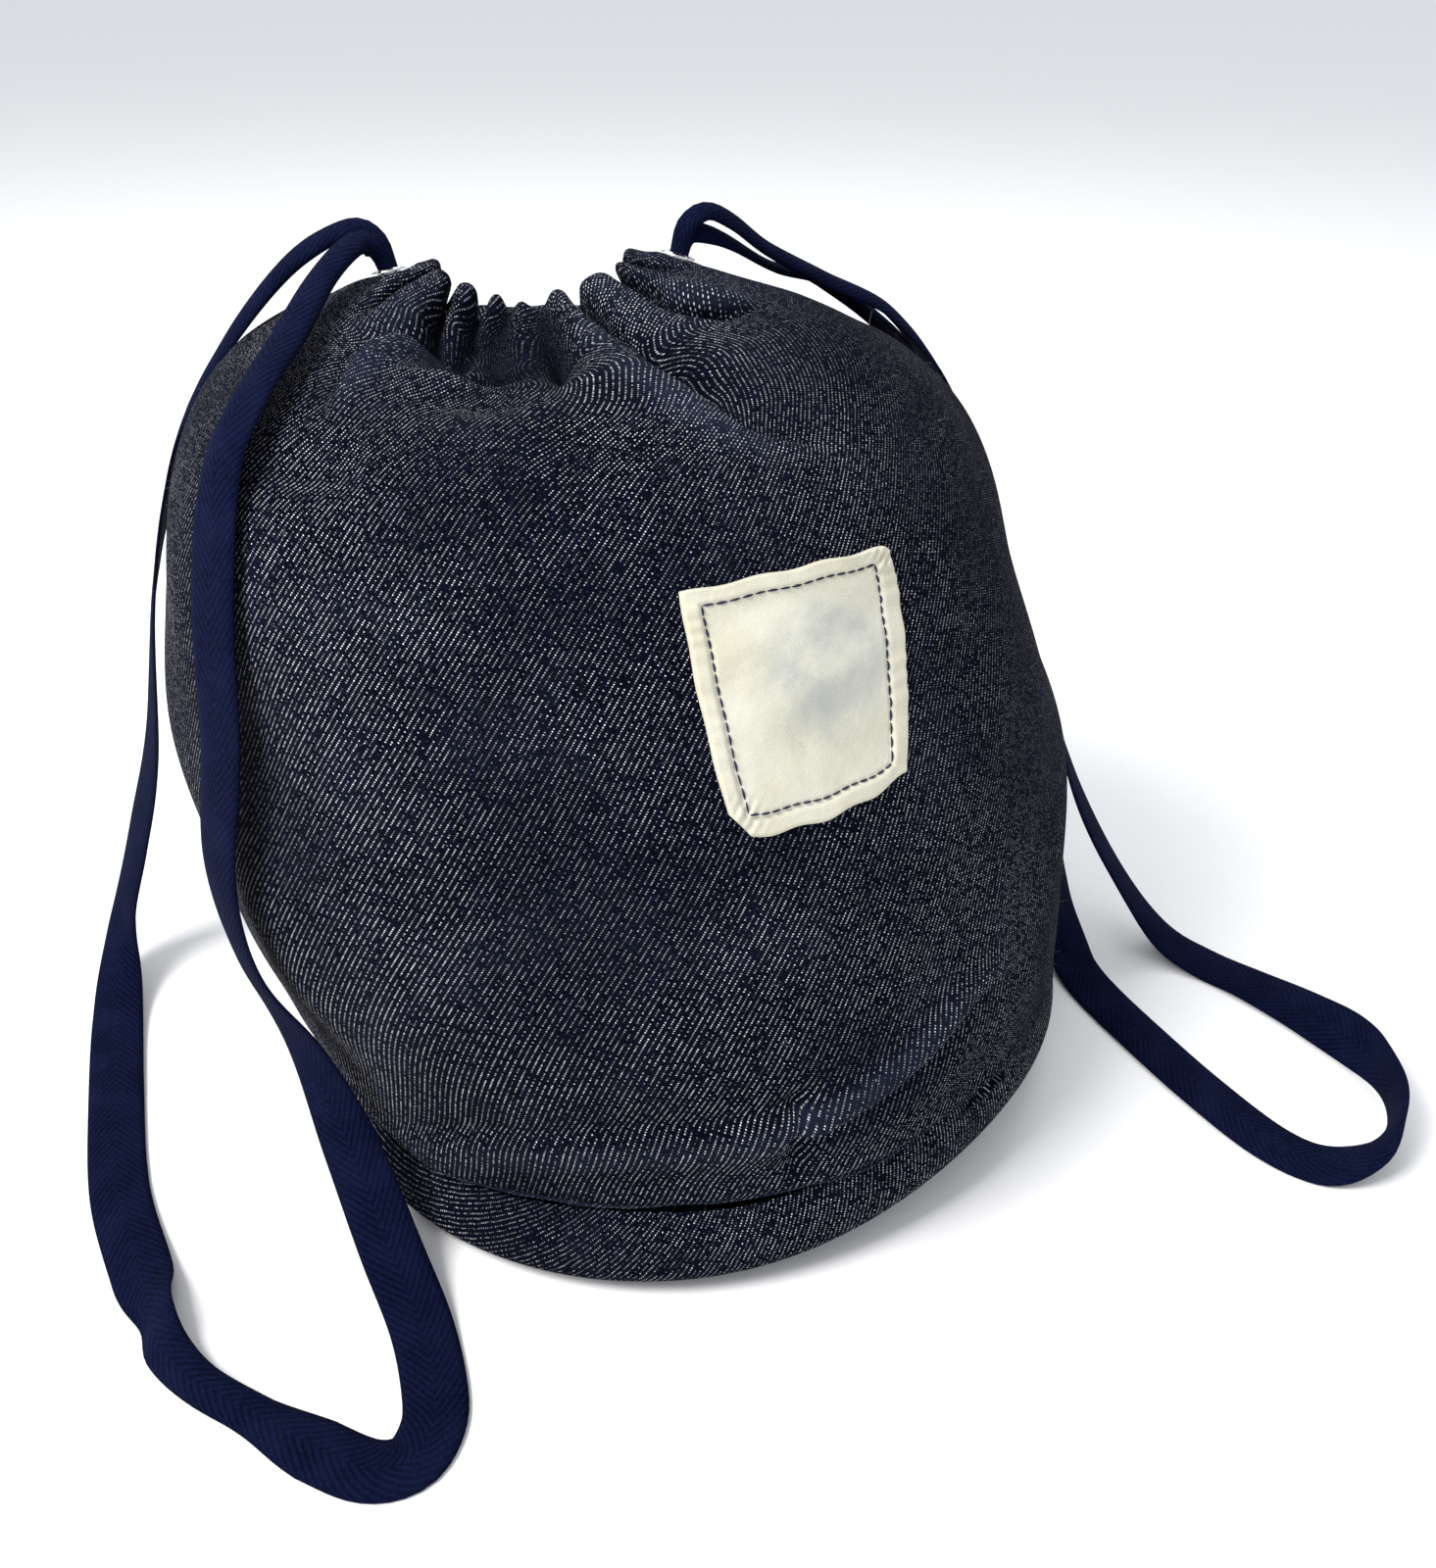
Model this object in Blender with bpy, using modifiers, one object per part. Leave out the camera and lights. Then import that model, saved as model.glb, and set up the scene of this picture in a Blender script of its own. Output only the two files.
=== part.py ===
"""Drawstring pouch with a round base, two eyelets and two tape loops.

Metres, +Z up. The pouch stands on the middle of its base at the origin and its front, with the
patch, faces -Y. The side wall is a lofted shell, because a filled cloth bag has no turned or
extruded shape. The rest is made from primitives, a curve, a screw profile and solidified strips.
"""
from math import cos, degrees, radians, sin

import bmesh
import bpy
from mathutils import Vector

MM = 0.001

# Cloth
DENIM = 1.2            # one layer of the denim
HEM = 3.0              # the folded channel at the mouth
PATCH_CLOTH = 0.8
GAP = 0.3              # clearance between pieces that touch

# The side wall, as rings from the base seam up to the edge of the mouth:
# height, centre X, centre Y, half width, half depth, squareness
RINGS = [
    (14, 4, -4, 107, 110, 2.0),
    (38, -1, -2, 113, 113, 2.0),
    (72, -10, 0, 119, 114, 2.0),
    (105, -15, 2, 118, 109, 2.0),
    (138, -20, 3, 111, 100, 2.0),
    (164, -22, 3, 104, 90, 2.0),
    (183, -23, 3, 94, 78, 2.1),
    (196, -25, 3, 80, 62, 2.2),
    (207, -29, 2, 61, 40, 2.4),
    (214, -32, 2, 44, 22, 2.8),
    (219, -32, 2, 24, 9, 2.8),
]
TOP = len(RINGS) - 1
# Height of the base seam at each 45 degrees, from +X towards +Y
SEAM_HEIGHTS = (24, 12, 10, 10, 10, 12, 20, 31)
SADDLE = 8             # how far the front and back of the mouth dip
MOUTH_SLOPE = 0.05     # the mouth rises towards +X
HEM_FROM = 8.6         # ring number where the folded channel starts
PLEATS = 12            # soft pleats that run down from the mouth
PLEAT_DEPTH = 1.6

SEGMENTS = 60          # around the wall
WALL_STEPS = 22        # up the wall
EYELET_SIDES = 32
PATCH_COLUMNS = 10
PATCH_ROWS = 12
STITCH_STEPS = 8       # points on each side of the patch's stitching

# Colours and roughness
DENIM_BLUE = (0.018, 0.024, 0.050)
PATCH_CREAM = (0.83, 0.82, 0.70)
THREAD_NAVY = (0.03, 0.035, 0.08)
TAPE_NAVY = (0.012, 0.016, 0.065)
NICKEL = (0.62, 0.62, 0.60)
CLOTH_ROUGHNESS = 0.9
METAL_ROUGHNESS = 0.3

# The base panel: share of its radius, and of the seam's height, from the seam inwards
BASE_PROFILE = ((1.0, 1.0), (0.985, 0.55), (0.955, 0.2), (0.90, 0.0), (0.6, 0.0), (0.25, 0.0))

# Patch, on the wall: angle at its middle, width, height, middle height, lean
PATCH_ANGLE = 298.3
PATCH_WIDTH = 47
PATCH_HEIGHT = 51
PATCH_MIDDLE = 145.5
PATCH_LEAN = 2
STITCH_INSET = 5.5
THREAD = 0.5

# Eyelets: bore, barrel, flange, and the place and tilt of each
BORE = 5.0
BARREL = 5.8
FLANGE = 8.6
SHEET_METAL = 0.4
SEAT_DEPTH = 0.6
GRIP = 1.5             # cloth left between the eyelet's flange and its washer
SEAT_PLAY = 0.5        # the seat in the cloth is this much wider than the flange
CRIMP = 1.3            # how far the barrel goes on past the washer's face
CUT_ABOVE = 6          # how far the cutters reach over and under the cloth
CUT_BELOW = 9
EYELETS = {
    "left_eyelet": ((-67, 4, 214.6), (-0.19, 0.19, 0.96)),
    "right_eyelet": ((3, 4, 218.2), (0.27, 0.17, 0.95)),
}

# Drawstring tape, 15 mm wide. Each route is a list chosen by hand:
# X, Y, Z of the middle of the tape, the direction that its face looks in, and its width from
# 1, flat, down to the narrow bunch that passes through the eyelet.
TAPE = 1.0
FLOOR_GAP = 0.05        # an edge of tape that would dip under the floor lies this far above it
TAPE_WIDTH = 15
TAPE_STEP = 9          # distance between the tape's rows of points
ROUTE_STEPS = 12       # smooth points between two points of a route
LEFT_ROUTE = [
    (-65.3, 1.3, 205.9, 0, -1, .2, .22), (-67.2, 3.1, 215.5, 0, -1, .2, .22),
    (-69.6, 2.2, 220.6, -.3, -1, .6, .32), (-74, -1, 221.5, -.3, -.6, 1, .50),
    (-80, -11, 216, -.3, -.3, 1, .66), (-85, -27, 207.5, -.25, -.28, 1, .80),
    (-91, -46, 198, -.44, -.5, .75, .90), (-97, -54, 184, -.58, -.64, .5, 1),
    (-99.5, -67, 157, -.6, -.75, .28, 1), (-100, -77, 128, -.64, -.75, .18, 1),
    (-104, -82, 98, -.73, -.68, .05, 1), (-101.5, -83, 71, -.8, -.6, .1, 1),
    (-91, -85, 47, -.7, -.5, .5, 1), (-80, -96, 25, -.4, -.32, .85, 1),
    (-68, -115, 8.5, -.15, -.12, 1, 1), (-58, -133, 1.8, 0, 0, 1, 1),
    (-52.2, -150, .8, 0, 0, 1, 1), (-51.3, -159.5, .8, 0, 0, 1, 1),
    (-54.8, -167.6, .8, 0, 0, 1, 1), (-63.5, -169.6, .8, 0, 0, 1, 1),
    (-76, -164.6, .8, 0, 0, 1, 1), (-91, -156.8, 1.2, 0, -.1, 1, .66),
    (-106, -149, 2.2, -.1, -.3, 1, .60), (-116.5, -140.5, 3.2, -.3, -.4, .85, .72),
    (-122, -131, 3.6, -.7, -.3, .7, .85), (-130, -116.5, 1.4, -.2, 0, 1, 1),
    (-144.5, -90, .8, 0, 0, 1, 1), (-157, -56, .8, 0, 0, 1, 1),
    (-170, -15, 2.6, -.2, 0, 1, 1), (-173, 6, 17, -.55, -.4, .7, 1),
    (-165, 13, 44, -.8, -.6, .3, 1), (-154, 12, 77, -.85, -.5, .25, 1),
    (-142, 10, 129, -.94, -.25, .2, 1), (-128, 14, 170, -.9, 0, .45, 1),
    (-111, 10, 195, -.75, -.2, .65, .85), (-92, 8, 215, -.4, -.3, .85, .60),
    (-77, 7.5, 223.4, -.1, -.5, .9, .40), (-69.8, 6.6, 221.5, 0, -1, .4, .26),
    (-67.2, 5.1, 215.5, 0, -1, .2, .22), (-65.3, 3.3, 205.9, 0, -1, .2, .22),
]
RIGHT_ROUTE = [
    (.6, 1.5, 209.7, 0, -1, .2, .22), (3.2, 3.1, 218.7, 0, -1, .2, .22),
    (5.2, 3.9, 225.2, -.3, -.9, .4, .34), (10, 5.5, 228, -.1, -.8, .8, .42),
    (16.5, 9.5, 224.5, .3, -.6, .8, .50), (25, 16, 217, .45, -.3, .85, .65),
    (40, 25.5, 207.5, .45, 0, .9, .90), (57, 32, 198, .5, .1, .85, 1),
    (72, 36.5, 180, .75, .2, .55, 1), (83, 38, 156, .9, .25, .4, 1),
    (95, 35.5, 126, .9, .2, .3, 1), (110, 30.5, 89, .95, 0, .3, 1),
    (125, 27, 51, .9, -.2, .4, 1), (140, 23, 24, .82, -.2, .6, 1),
    (154, 15.5, 6, .35, -.1, 1, 1), (166, 6.5, 1.2, 0, 0, 1, 1),
    (178, -5, 1.6, -.1, 0, 1, 1), (189, -20, 3.6, -.35, -.2, 1, 1),
    (196.5, -36, 6.4, -.8, -.2, .6, 1), (200, -50, 7.9, -1, -.1, .1, 1),
    (199.5, -62, 7.9, -1, .2, .1, 1), (194.5, -72.5, 7.4, -.8, .6, .3, 1),
    (186, -79.5, 4.2, -.3, .4, .9, 1), (175, -80, 1, 0, 0, 1, 1),
    (163, -71, .8, 0, 0, 1, 1), (150, -50.5, .8, 0, 0, 1, 1),
    (138.5, -28, .8, 0, 0, 1, 1), (129, -7, .8, 0, 0, 1, 1),
    (124.8, 8, 2.2, .2, 0, 1, 1), (124, 23, 12, .65, 0, .75, 1),
    (119, 40, 46, .9, 0, .32, 1), (104, 55, 96, .88, .3, .22, 1),
    (88, 58, 142, .82, .4, .35, 1), (66, 50, 181, .6, .4, .65, 1),
    (42, 38, 203, .4, .3, .9, .88), (26, 24.5, 211, .4, 0, .9, .60),
    (14.5, 11, 220, .3, -.6, .75, .40), (6.4, 6.3, 222.8, .1, -1, .3, .28),
    (3.2, 5.1, 218.7, 0, -1, .2, .22), (.6, 3.5, 209.7, 0, -1, .2, .22),
]


# ---------------------------------------------------------------- scene helpers
def clear_scene():
    """Remove what the default scene holds."""
    for item in list(bpy.data.objects):
        bpy.data.objects.remove(item, do_unlink=True)


def add_material(piece, colour, roughness, metallic=0.0):
    """Give the piece a Principled material of its own."""
    material = bpy.data.materials.new(piece.name + "_finish")
    material.use_nodes = True
    shader = material.node_tree.nodes["Principled BSDF"]
    shader.inputs["Base Color"].default_value = (*colour, 1.0)
    shader.inputs["Roughness"].default_value = roughness
    shader.inputs["Metallic"].default_value = metallic
    piece.data.materials.clear()
    piece.data.materials.append(material)


def file_in_collection(piece, name=None):
    """Put the piece alone in a collection that has its name."""
    collection = bpy.data.collections.get(name or piece.name)
    if collection is None:
        collection = bpy.data.collections.new(name or piece.name)
        bpy.context.scene.collection.children.link(collection)
    for old in list(piece.users_collection):
        old.objects.unlink(piece)
    collection.objects.link(piece)


def object_from_bmesh(mesh_data, name):
    """Turn a bmesh into a named object in its own collection."""
    bmesh.ops.recalc_face_normals(mesh_data, faces=mesh_data.faces)
    mesh = bpy.data.meshes.new(name)
    mesh_data.to_mesh(mesh)
    mesh_data.free()
    piece = bpy.data.objects.new(name, mesh)
    bpy.context.scene.collection.objects.link(piece)
    file_in_collection(piece)
    return piece


def solidify(piece, thickness, offset, group=None):
    """Thicken a sheet by so many millimetres."""
    modifier = piece.modifiers.new("Solidify", "SOLIDIFY")
    modifier.thickness = thickness * MM
    modifier.offset = offset
    modifier.use_even_offset = True
    if group:
        modifier.vertex_group = group
    return modifier


def grid_faces(mesh_data, rows, closed):
    """Join rows of vertices with quads; closed rows wrap around."""
    for low, high in zip(rows, rows[1:]):
        count = len(low)
        for i in range(count if closed else count - 1):
            j = (i + 1) % count
            mesh_data.faces.new((low[i], low[j], high[j], high[i]))


# ---------------------------------------------------------------- curves and the wall's shape
def smooth_value(points, t):
    """Catmull-Rom curve through a list of equally spaced number tuples."""
    last = len(points) - 1
    t = min(max(t, 0.0), last)
    i = min(int(t), last - 1)
    f = t - i
    before, start = points[max(i - 1, 0)], points[i]
    end, after = points[i + 1], points[min(i + 2, last)]
    return [
        0.5 * (2 * q + (r - p) * f + (2 * p - 5 * q + 4 * r - s) * f * f
               + (3 * q - p - 3 * r + s) * f ** 3)
        for p, q, r, s in zip(before, start, end, after)
    ]


def seam_height(angle):
    """Height of the base seam at an angle in degrees."""
    place = (angle % 360) / 45
    i = int(place)
    f = place - i
    blend = f * f * (3 - 2 * f)
    return SEAM_HEIGHTS[i % 8] * (1 - blend) + SEAM_HEIGHTS[(i + 1) % 8] * blend


def wall_point(angle, level, outward=0.0):
    """A point of the wall's outer face: angle in degrees, level in rings from the seam."""
    height, middle_x, middle_y, half_x, half_y, squareness = smooth_value(RINGS, level)
    c, s = cos(radians(angle)), sin(radians(angle))
    power = 2 / squareness
    top = min(max((level - 7) / 3, 0), 1)
    pleat = PLEAT_DEPTH * top ** 2 * abs(s) ** 1.5 * cos(radians(angle) * PLEATS)
    x = middle_x + (half_x + outward) * abs(c) ** power * (1 if c >= 0 else -1)
    y = middle_y + (half_y + outward + pleat) * abs(s) ** power * (1 if s >= 0 else -1)
    z = height + (seam_height(angle) - RINGS[0][0]) * max(1 - level / 2, 0) ** 1.5
    z += top * (MOUTH_SLOPE * (x - middle_x) - SADDLE * abs(s) ** 1.5)
    return Vector((x, y, z))


# ---------------------------------------------------------------- cloth pieces
def build_body_panel():
    """The side wall: one tube of denim whose top edge is folded into a channel."""
    mesh_data = bmesh.new()
    rows = []
    for step in range(WALL_STEPS + 1):
        level = TOP * step / WALL_STEPS
        lift = Vector((0, 0, GAP / 2)) * (1 if step == 0 else 0)
        rows.append([
            mesh_data.verts.new((wall_point(360 * i / SEGMENTS, level) + lift) * MM)
            for i in range(SEGMENTS)
        ])
    grid_faces(mesh_data, rows, closed=True)
    piece = object_from_bmesh(mesh_data, "body_panel")
    thickness = piece.vertex_groups.new(name="thickness")
    for step in range(WALL_STEPS + 1):
        hem = min(max(TOP * step / WALL_STEPS - HEM_FROM + 1, 0), 1)
        weight = (DENIM + (HEM - DENIM) * hem) / HEM
        thickness.add(list(range(step * SEGMENTS, (step + 1) * SEGMENTS)), weight, "REPLACE")
    solidify(piece, HEM, -1, "thickness")
    add_material(piece, DENIM_BLUE, CLOTH_ROUGHNESS)
    return piece


def build_base_panel():
    """The round base: a flat middle that turns up to the seam."""
    mesh_data = bmesh.new()
    middle_x, middle_y = RINGS[0][1], RINGS[0][2]
    rows = []
    for reach, rise in BASE_PROFILE:
        row = []
        for i in range(SEGMENTS):
            angle = 360 * i / SEGMENTS
            edge = wall_point(angle, 0)
            height = (edge.z - GAP / 2) * rise
            x = middle_x + (edge.x - middle_x) * reach
            y = middle_y + (edge.y - middle_y) * reach
            row.append(mesh_data.verts.new(Vector((x, y, height)) * MM))
        rows.append(row)
    grid_faces(mesh_data, rows, closed=True)
    mesh_data.faces.new(rows[-1])
    piece = object_from_bmesh(mesh_data, "base_panel")
    solidify(piece, DENIM, -1)
    add_material(piece, DENIM_BLUE, CLOTH_ROUGHNESS)
    return piece


def patch_point(u, v, outward):
    """A point over the wall: u and v in millimetres from the patch's middle."""
    lean = radians(PATCH_LEAN)
    across = u * cos(lean) - v * sin(lean)
    along = u * sin(lean) + v * cos(lean)
    level = level_at_height(PATCH_MIDDLE + along)
    centre = smooth_value(RINGS, level)
    angle = PATCH_ANGLE + degrees(across / ((centre[3] + centre[4]) / 2))
    return wall_point(angle, level, outward)


def level_at_height(height):
    """The level whose ring stands at this height, by halving."""
    low, high = 0.0, float(TOP)
    for _ in range(30):
        middle = (low + high) / 2
        if smooth_value(RINGS, middle)[0] < height:
            low = middle
        else:
            high = middle
    return (low + high) / 2


def build_patch():
    """A plain cloth patch that lies on the front of the wall."""
    mesh_data = bmesh.new()
    rows = []
    for j in range(PATCH_ROWS + 1):
        v = PATCH_HEIGHT * (j / PATCH_ROWS - 0.5)
        across = [PATCH_WIDTH * (i / PATCH_COLUMNS - 0.5) for i in range(PATCH_COLUMNS + 1)]
        rows.append([mesh_data.verts.new(patch_point(u, v, GAP) * MM) for u in across])
    grid_faces(mesh_data, rows, closed=False)
    piece = object_from_bmesh(mesh_data, "patch")
    faces_out = piece.data.polygons[0].normal.y < 0
    solidify(piece, PATCH_CLOTH, 1 if faces_out else -1)
    add_material(piece, PATCH_CREAM, CLOTH_ROUGHNESS)
    return piece


def build_patch_stitching():
    """The line of thread that holds the patch, as one closed run."""
    half_width = PATCH_WIDTH / 2 - STITCH_INSET
    half_height = PATCH_HEIGHT / 2 - STITCH_INSET
    corners = [(-half_width, -half_height), (half_width, -half_height),
               (half_width, half_height), (-half_width, half_height)]
    lift = GAP + PATCH_CLOTH + GAP + THREAD / 2
    points = []
    for start, end in zip(corners, corners[1:] + corners[:1]):
        for i in range(STITCH_STEPS):
            f = i / STITCH_STEPS
            u = start[0] + (end[0] - start[0]) * f
            v = start[1] + (end[1] - start[1]) * f
            points.append(patch_point(u, v, lift))
    curve = bpy.data.curves.new("patch_stitching", "CURVE")
    curve.dimensions = "3D"
    curve.bevel_depth = THREAD / 2 * MM
    curve.bevel_resolution = 1
    spline = curve.splines.new("POLY")
    spline.points.add(len(points) - 1)
    for place, point in zip(spline.points, points):
        place.co = (*(point * MM), 1)
    spline.use_cyclic_u = True
    piece = bpy.data.objects.new("patch_stitching", curve)
    bpy.context.scene.collection.objects.link(piece)
    file_in_collection(piece)
    add_material(piece, THREAD_NAVY, CLOTH_ROUGHNESS)
    return piece


# ---------------------------------------------------------------- eyelets
def turned_piece(name, profile, place, axis):
    """Spin a closed profile of radius and height about an axis through a place."""
    mesh_data = bmesh.new()
    corners = [mesh_data.verts.new((radius * MM, 0, height * MM)) for radius, height in profile]
    for i, corner in enumerate(corners):
        mesh_data.edges.new((corner, corners[(i + 1) % len(corners)]))
    mesh = bpy.data.meshes.new(name)
    mesh_data.to_mesh(mesh)
    mesh_data.free()
    piece = bpy.data.objects.new(name, mesh)
    bpy.context.scene.collection.objects.link(piece)
    file_in_collection(piece)
    screw = piece.modifiers.new("Screw", "SCREW")
    screw.axis = "Z"
    screw.steps = screw.render_steps = EYELET_SIDES
    screw.use_normal_flip = True
    screw.use_merge_vertices = True
    screw.merge_threshold = 0.00001
    piece.location = Vector(place) * MM
    piece.rotation_euler = Vector(axis).to_track_quat("Z", "Y").to_euler()
    add_material(piece, NICKEL, METAL_ROUGHNESS, 1.0)
    return piece


def cut(piece, name, radius, low, high, place, axis):
    """Drill a round hole into the piece, from low to high along the axis."""
    bpy.ops.mesh.primitive_cylinder_add(
        vertices=EYELET_SIDES, radius=radius * MM, depth=(high - low) * MM)
    cutter = bpy.context.active_object
    cutter.name = name
    direction = Vector(axis).normalized()
    cutter.location = (Vector(place) + direction * (low + high) / 2) * MM
    cutter.rotation_euler = direction.to_track_quat("Z", "Y").to_euler()
    cutter.hide_render = True
    cutter.display_type = "WIRE"
    file_in_collection(cutter, "cutters")
    boolean = piece.modifiers.new(name, "BOOLEAN")
    boolean.operation = "DIFFERENCE"
    boolean.solver = "EXACT"
    boolean.object = cutter


def build_eyelet(name, body):
    """A two-part eyelet: a barrel with a flange outside, and a washer inside the channel."""
    place, axis = EYELETS[name]
    bore, barrel, flange = BORE / 2, BARREL / 2, FLANGE / 2
    seat = flange + SEAT_PLAY
    bottom = -SEAT_DEPTH - GRIP
    cut(body, name + "_seat", seat, -SEAT_DEPTH, CUT_ABOVE, place, axis)
    cut(body, name + "_inside", seat, -CUT_BELOW, bottom, place, axis)
    cut(body, name + "_hole", barrel + GAP, -CUT_BELOW + 1, CUT_ABOVE - 1, place, axis)
    face = -SEAT_DEPTH + GAP
    turned_piece(name, [
        (bore, bottom - CRIMP), (barrel, bottom - CRIMP), (barrel, face), (flange, face),
        (flange - 0.1, face + SHEET_METAL * 0.7), (flange - 0.7, face + SHEET_METAL * 1.5),
        (barrel - 0.2, face + SHEET_METAL * 1.5), (bore, face + SHEET_METAL * 0.6),
    ], place, axis)
    turned_piece(name + "_washer", [
        (barrel + GAP, bottom - GAP), (barrel + GAP, bottom - GAP - SHEET_METAL),
        (flange, bottom - GAP - SHEET_METAL), (flange, bottom - GAP),
    ], place, axis)


# ---------------------------------------------------------------- drawstrings
def tape_stations(route):
    """Middle, face direction and width of the tape at even steps along its route."""
    places = (len(route) - 1) * ROUTE_STEPS
    fine = [smooth_value(route, i / ROUTE_STEPS) for i in range(places + 1)]
    lengths = [0.0]
    for a, b in zip(fine, fine[1:]):
        lengths.append(lengths[-1] + (Vector(b[:3]) - Vector(a[:3])).length)
    count = round(lengths[-1] / TAPE_STEP)
    stations = []
    k = 0
    for i in range(count + 1):
        wanted = lengths[-1] * i / count
        while k < len(fine) - 2 and lengths[k + 1] < wanted:
            k += 1
        f = (wanted - lengths[k]) / (lengths[k + 1] - lengths[k])
        stations.append([p + (q - p) * f for p, q in zip(fine[k], fine[k + 1])])
    return stations


def build_drawstring(name, route):
    """A flat woven tape: a strip along its route, thickened."""
    stations = tape_stations(route)
    mesh_data = bmesh.new()
    rows = []
    for i, station in enumerate(stations):
        before, after = stations[max(i - 1, 0)], stations[min(i + 1, len(stations) - 1)]
        forward = (Vector(after[:3]) - Vector(before[:3])).normalized()
        across = forward.cross(Vector(station[3:6])).normalized() * TAPE_WIDTH / 2 * station[6]
        middle = Vector(station[:3])
        row = []
        for side in (-1, 0, 1):
            point = middle + across * side
            point.z = max(point.z, TAPE / 2 + FLOOR_GAP)
            row.append(mesh_data.verts.new(point * MM))
        rows.append(row)
    grid_faces(mesh_data, rows, closed=False)
    piece = object_from_bmesh(mesh_data, name)
    solidify(piece, TAPE, 0)
    add_material(piece, TAPE_NAVY, CLOTH_ROUGHNESS)
    return piece


def build():
    """Make every piece of the pouch."""
    clear_scene()
    body = build_body_panel()
    build_base_panel()
    build_patch()
    build_patch_stitching()
    for name in EYELETS:
        build_eyelet(name, body)
    build_drawstring("left_drawstring", LEFT_ROUTE)
    build_drawstring("right_drawstring", RIGHT_ROUTE)


build()
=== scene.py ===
# %% [markdown]
# # A filled denim drawstring pouch
#
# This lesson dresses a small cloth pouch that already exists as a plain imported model. The plain
# model gives every piece its size and place; here each soft piece is modelled again as cloth.
# The work goes from the camera and the tapes, through the gathered wall, the base and the
# patch, to the small things that make cloth look real: stitches, creases and loose fibres.

# %% Load the frame
from math import cos, pi, radians, sin, sqrt

import bmesh
import bpy
import numpy as np
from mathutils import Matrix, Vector


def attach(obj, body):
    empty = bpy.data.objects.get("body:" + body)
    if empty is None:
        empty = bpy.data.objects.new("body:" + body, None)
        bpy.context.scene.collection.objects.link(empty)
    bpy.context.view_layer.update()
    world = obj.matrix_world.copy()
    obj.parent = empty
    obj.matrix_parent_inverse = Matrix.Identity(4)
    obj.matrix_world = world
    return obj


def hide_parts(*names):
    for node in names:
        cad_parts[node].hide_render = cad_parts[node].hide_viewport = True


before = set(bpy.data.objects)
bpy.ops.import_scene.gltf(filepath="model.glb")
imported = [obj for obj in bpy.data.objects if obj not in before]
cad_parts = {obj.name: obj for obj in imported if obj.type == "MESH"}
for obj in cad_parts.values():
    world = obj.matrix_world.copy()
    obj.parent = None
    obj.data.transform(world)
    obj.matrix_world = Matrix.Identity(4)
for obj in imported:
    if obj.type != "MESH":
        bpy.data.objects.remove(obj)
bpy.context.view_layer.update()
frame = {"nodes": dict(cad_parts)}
MM = 0.001
RNG = np.random.default_rng(7)
print("nodes:", ", ".join(frame["nodes"]))

# %% [markdown]
# ## Camera, floor and light
#
# The camera stands a little over the mouth's height and looks down at about 32 degrees, through
# a wide lens, which is why the base looks smaller than the shoulders. The floor is a plain pale
# sheet. Cloth shows its weave best in one broad light from the upper left with a weaker one
# opposite, and a bright world keeps the shadows soft.

# %% Camera, floor and lights
CAMERA_PLACE = (0.0125, -0.370, 0.300)
CAMERA_PITCH = 31.7
LENS = 34.58


def add_camera():
    """Place the camera and make it the scene's."""
    data = bpy.data.cameras.new("camera")
    data.lens = LENS
    data.sensor_width = 36
    data.sensor_fit = "AUTO"
    data.clip_start = 0.01
    camera = bpy.data.objects.new("camera", data)
    camera.location = CAMERA_PLACE
    camera.rotation_euler = (radians(90 - CAMERA_PITCH), 0, 0)
    bpy.context.scene.collection.objects.link(camera)
    bpy.context.scene.camera = camera


def add_area(name, place, target, size, power, colour=(1, 1, 1)):
    """A soft rectangular light that looks at a point."""
    data = bpy.data.lights.new(name, "AREA")
    data.shape = "RECTANGLE"
    data.size, data.size_y = size
    data.energy = power
    data.color = colour
    lamp = bpy.data.objects.new(name, data)
    lamp.location = place
    lamp.rotation_euler = (Vector(target) - Vector(place)).to_track_quat("-Z", "Y").to_euler()
    bpy.context.scene.collection.objects.link(lamp)


def add_floor():
    """A plain pale floor that reaches past the view."""
    mesh = bpy.data.meshes.new("floor")
    half = 6.0
    mesh.from_pydata([(-half, -half, 0), (half, -half, 0), (half, half, 0), (-half, half, 0)],
                     [], [(0, 1, 2, 3)])
    floor = bpy.data.objects.new("floor", mesh)
    floor.location.z = -0.0003
    bpy.context.scene.collection.objects.link(floor)
    material = bpy.data.materials.new("floor")
    material.use_nodes = True
    shader = material.node_tree.nodes["Principled BSDF"]
    shader.inputs["Base Color"].default_value = (0.90, 0.90, 0.90, 1)
    shader.inputs["Roughness"].default_value = 0.65
    mesh.materials.append(material)


add_camera()
add_floor()
add_area("key", (-0.75, -0.45, 1.05), (0, 0, 0.1), (0.6, 0.6), 21, (1.0, 0.98, 0.97))
add_area("fill", (0.9, -0.6, 0.7), (0, 0, 0.1), (0.9, 0.9), 0.8, (0.96, 0.98, 1.0))
add_area("back", (0.1, 0.9, 1.1), (0, 0, 0.1), (1.2, 0.6), 5)
world = bpy.data.worlds.new("world")
world.use_nodes = True
world.node_tree.nodes["Background"].inputs["Color"].default_value = (0.93, 0.95, 1.0, 1)
world.node_tree.nodes["Background"].inputs["Strength"].default_value = 0.82
bpy.context.scene.world = world
bpy.context.scene.view_settings.view_transform = "Standard"
print("camera, floor and", len(bpy.data.lights), "lights")

# %% [markdown]
# ## Helpers for meshes and node trees
#
# Every cloth piece here is a grid of points worked out with numpy and turned into a mesh with
# two numbers stored at each corner: its place in the flat cloth, in millimetres. The weave
# reads those two numbers, so threads stay nearly the same size wherever the cloth bends.


# %% Mesh and node helpers
def show(name, mesh):
    """An object in the scene for a mesh."""
    piece = bpy.data.objects.new(name, mesh)
    bpy.context.scene.collection.objects.link(piece)
    return piece


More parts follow.
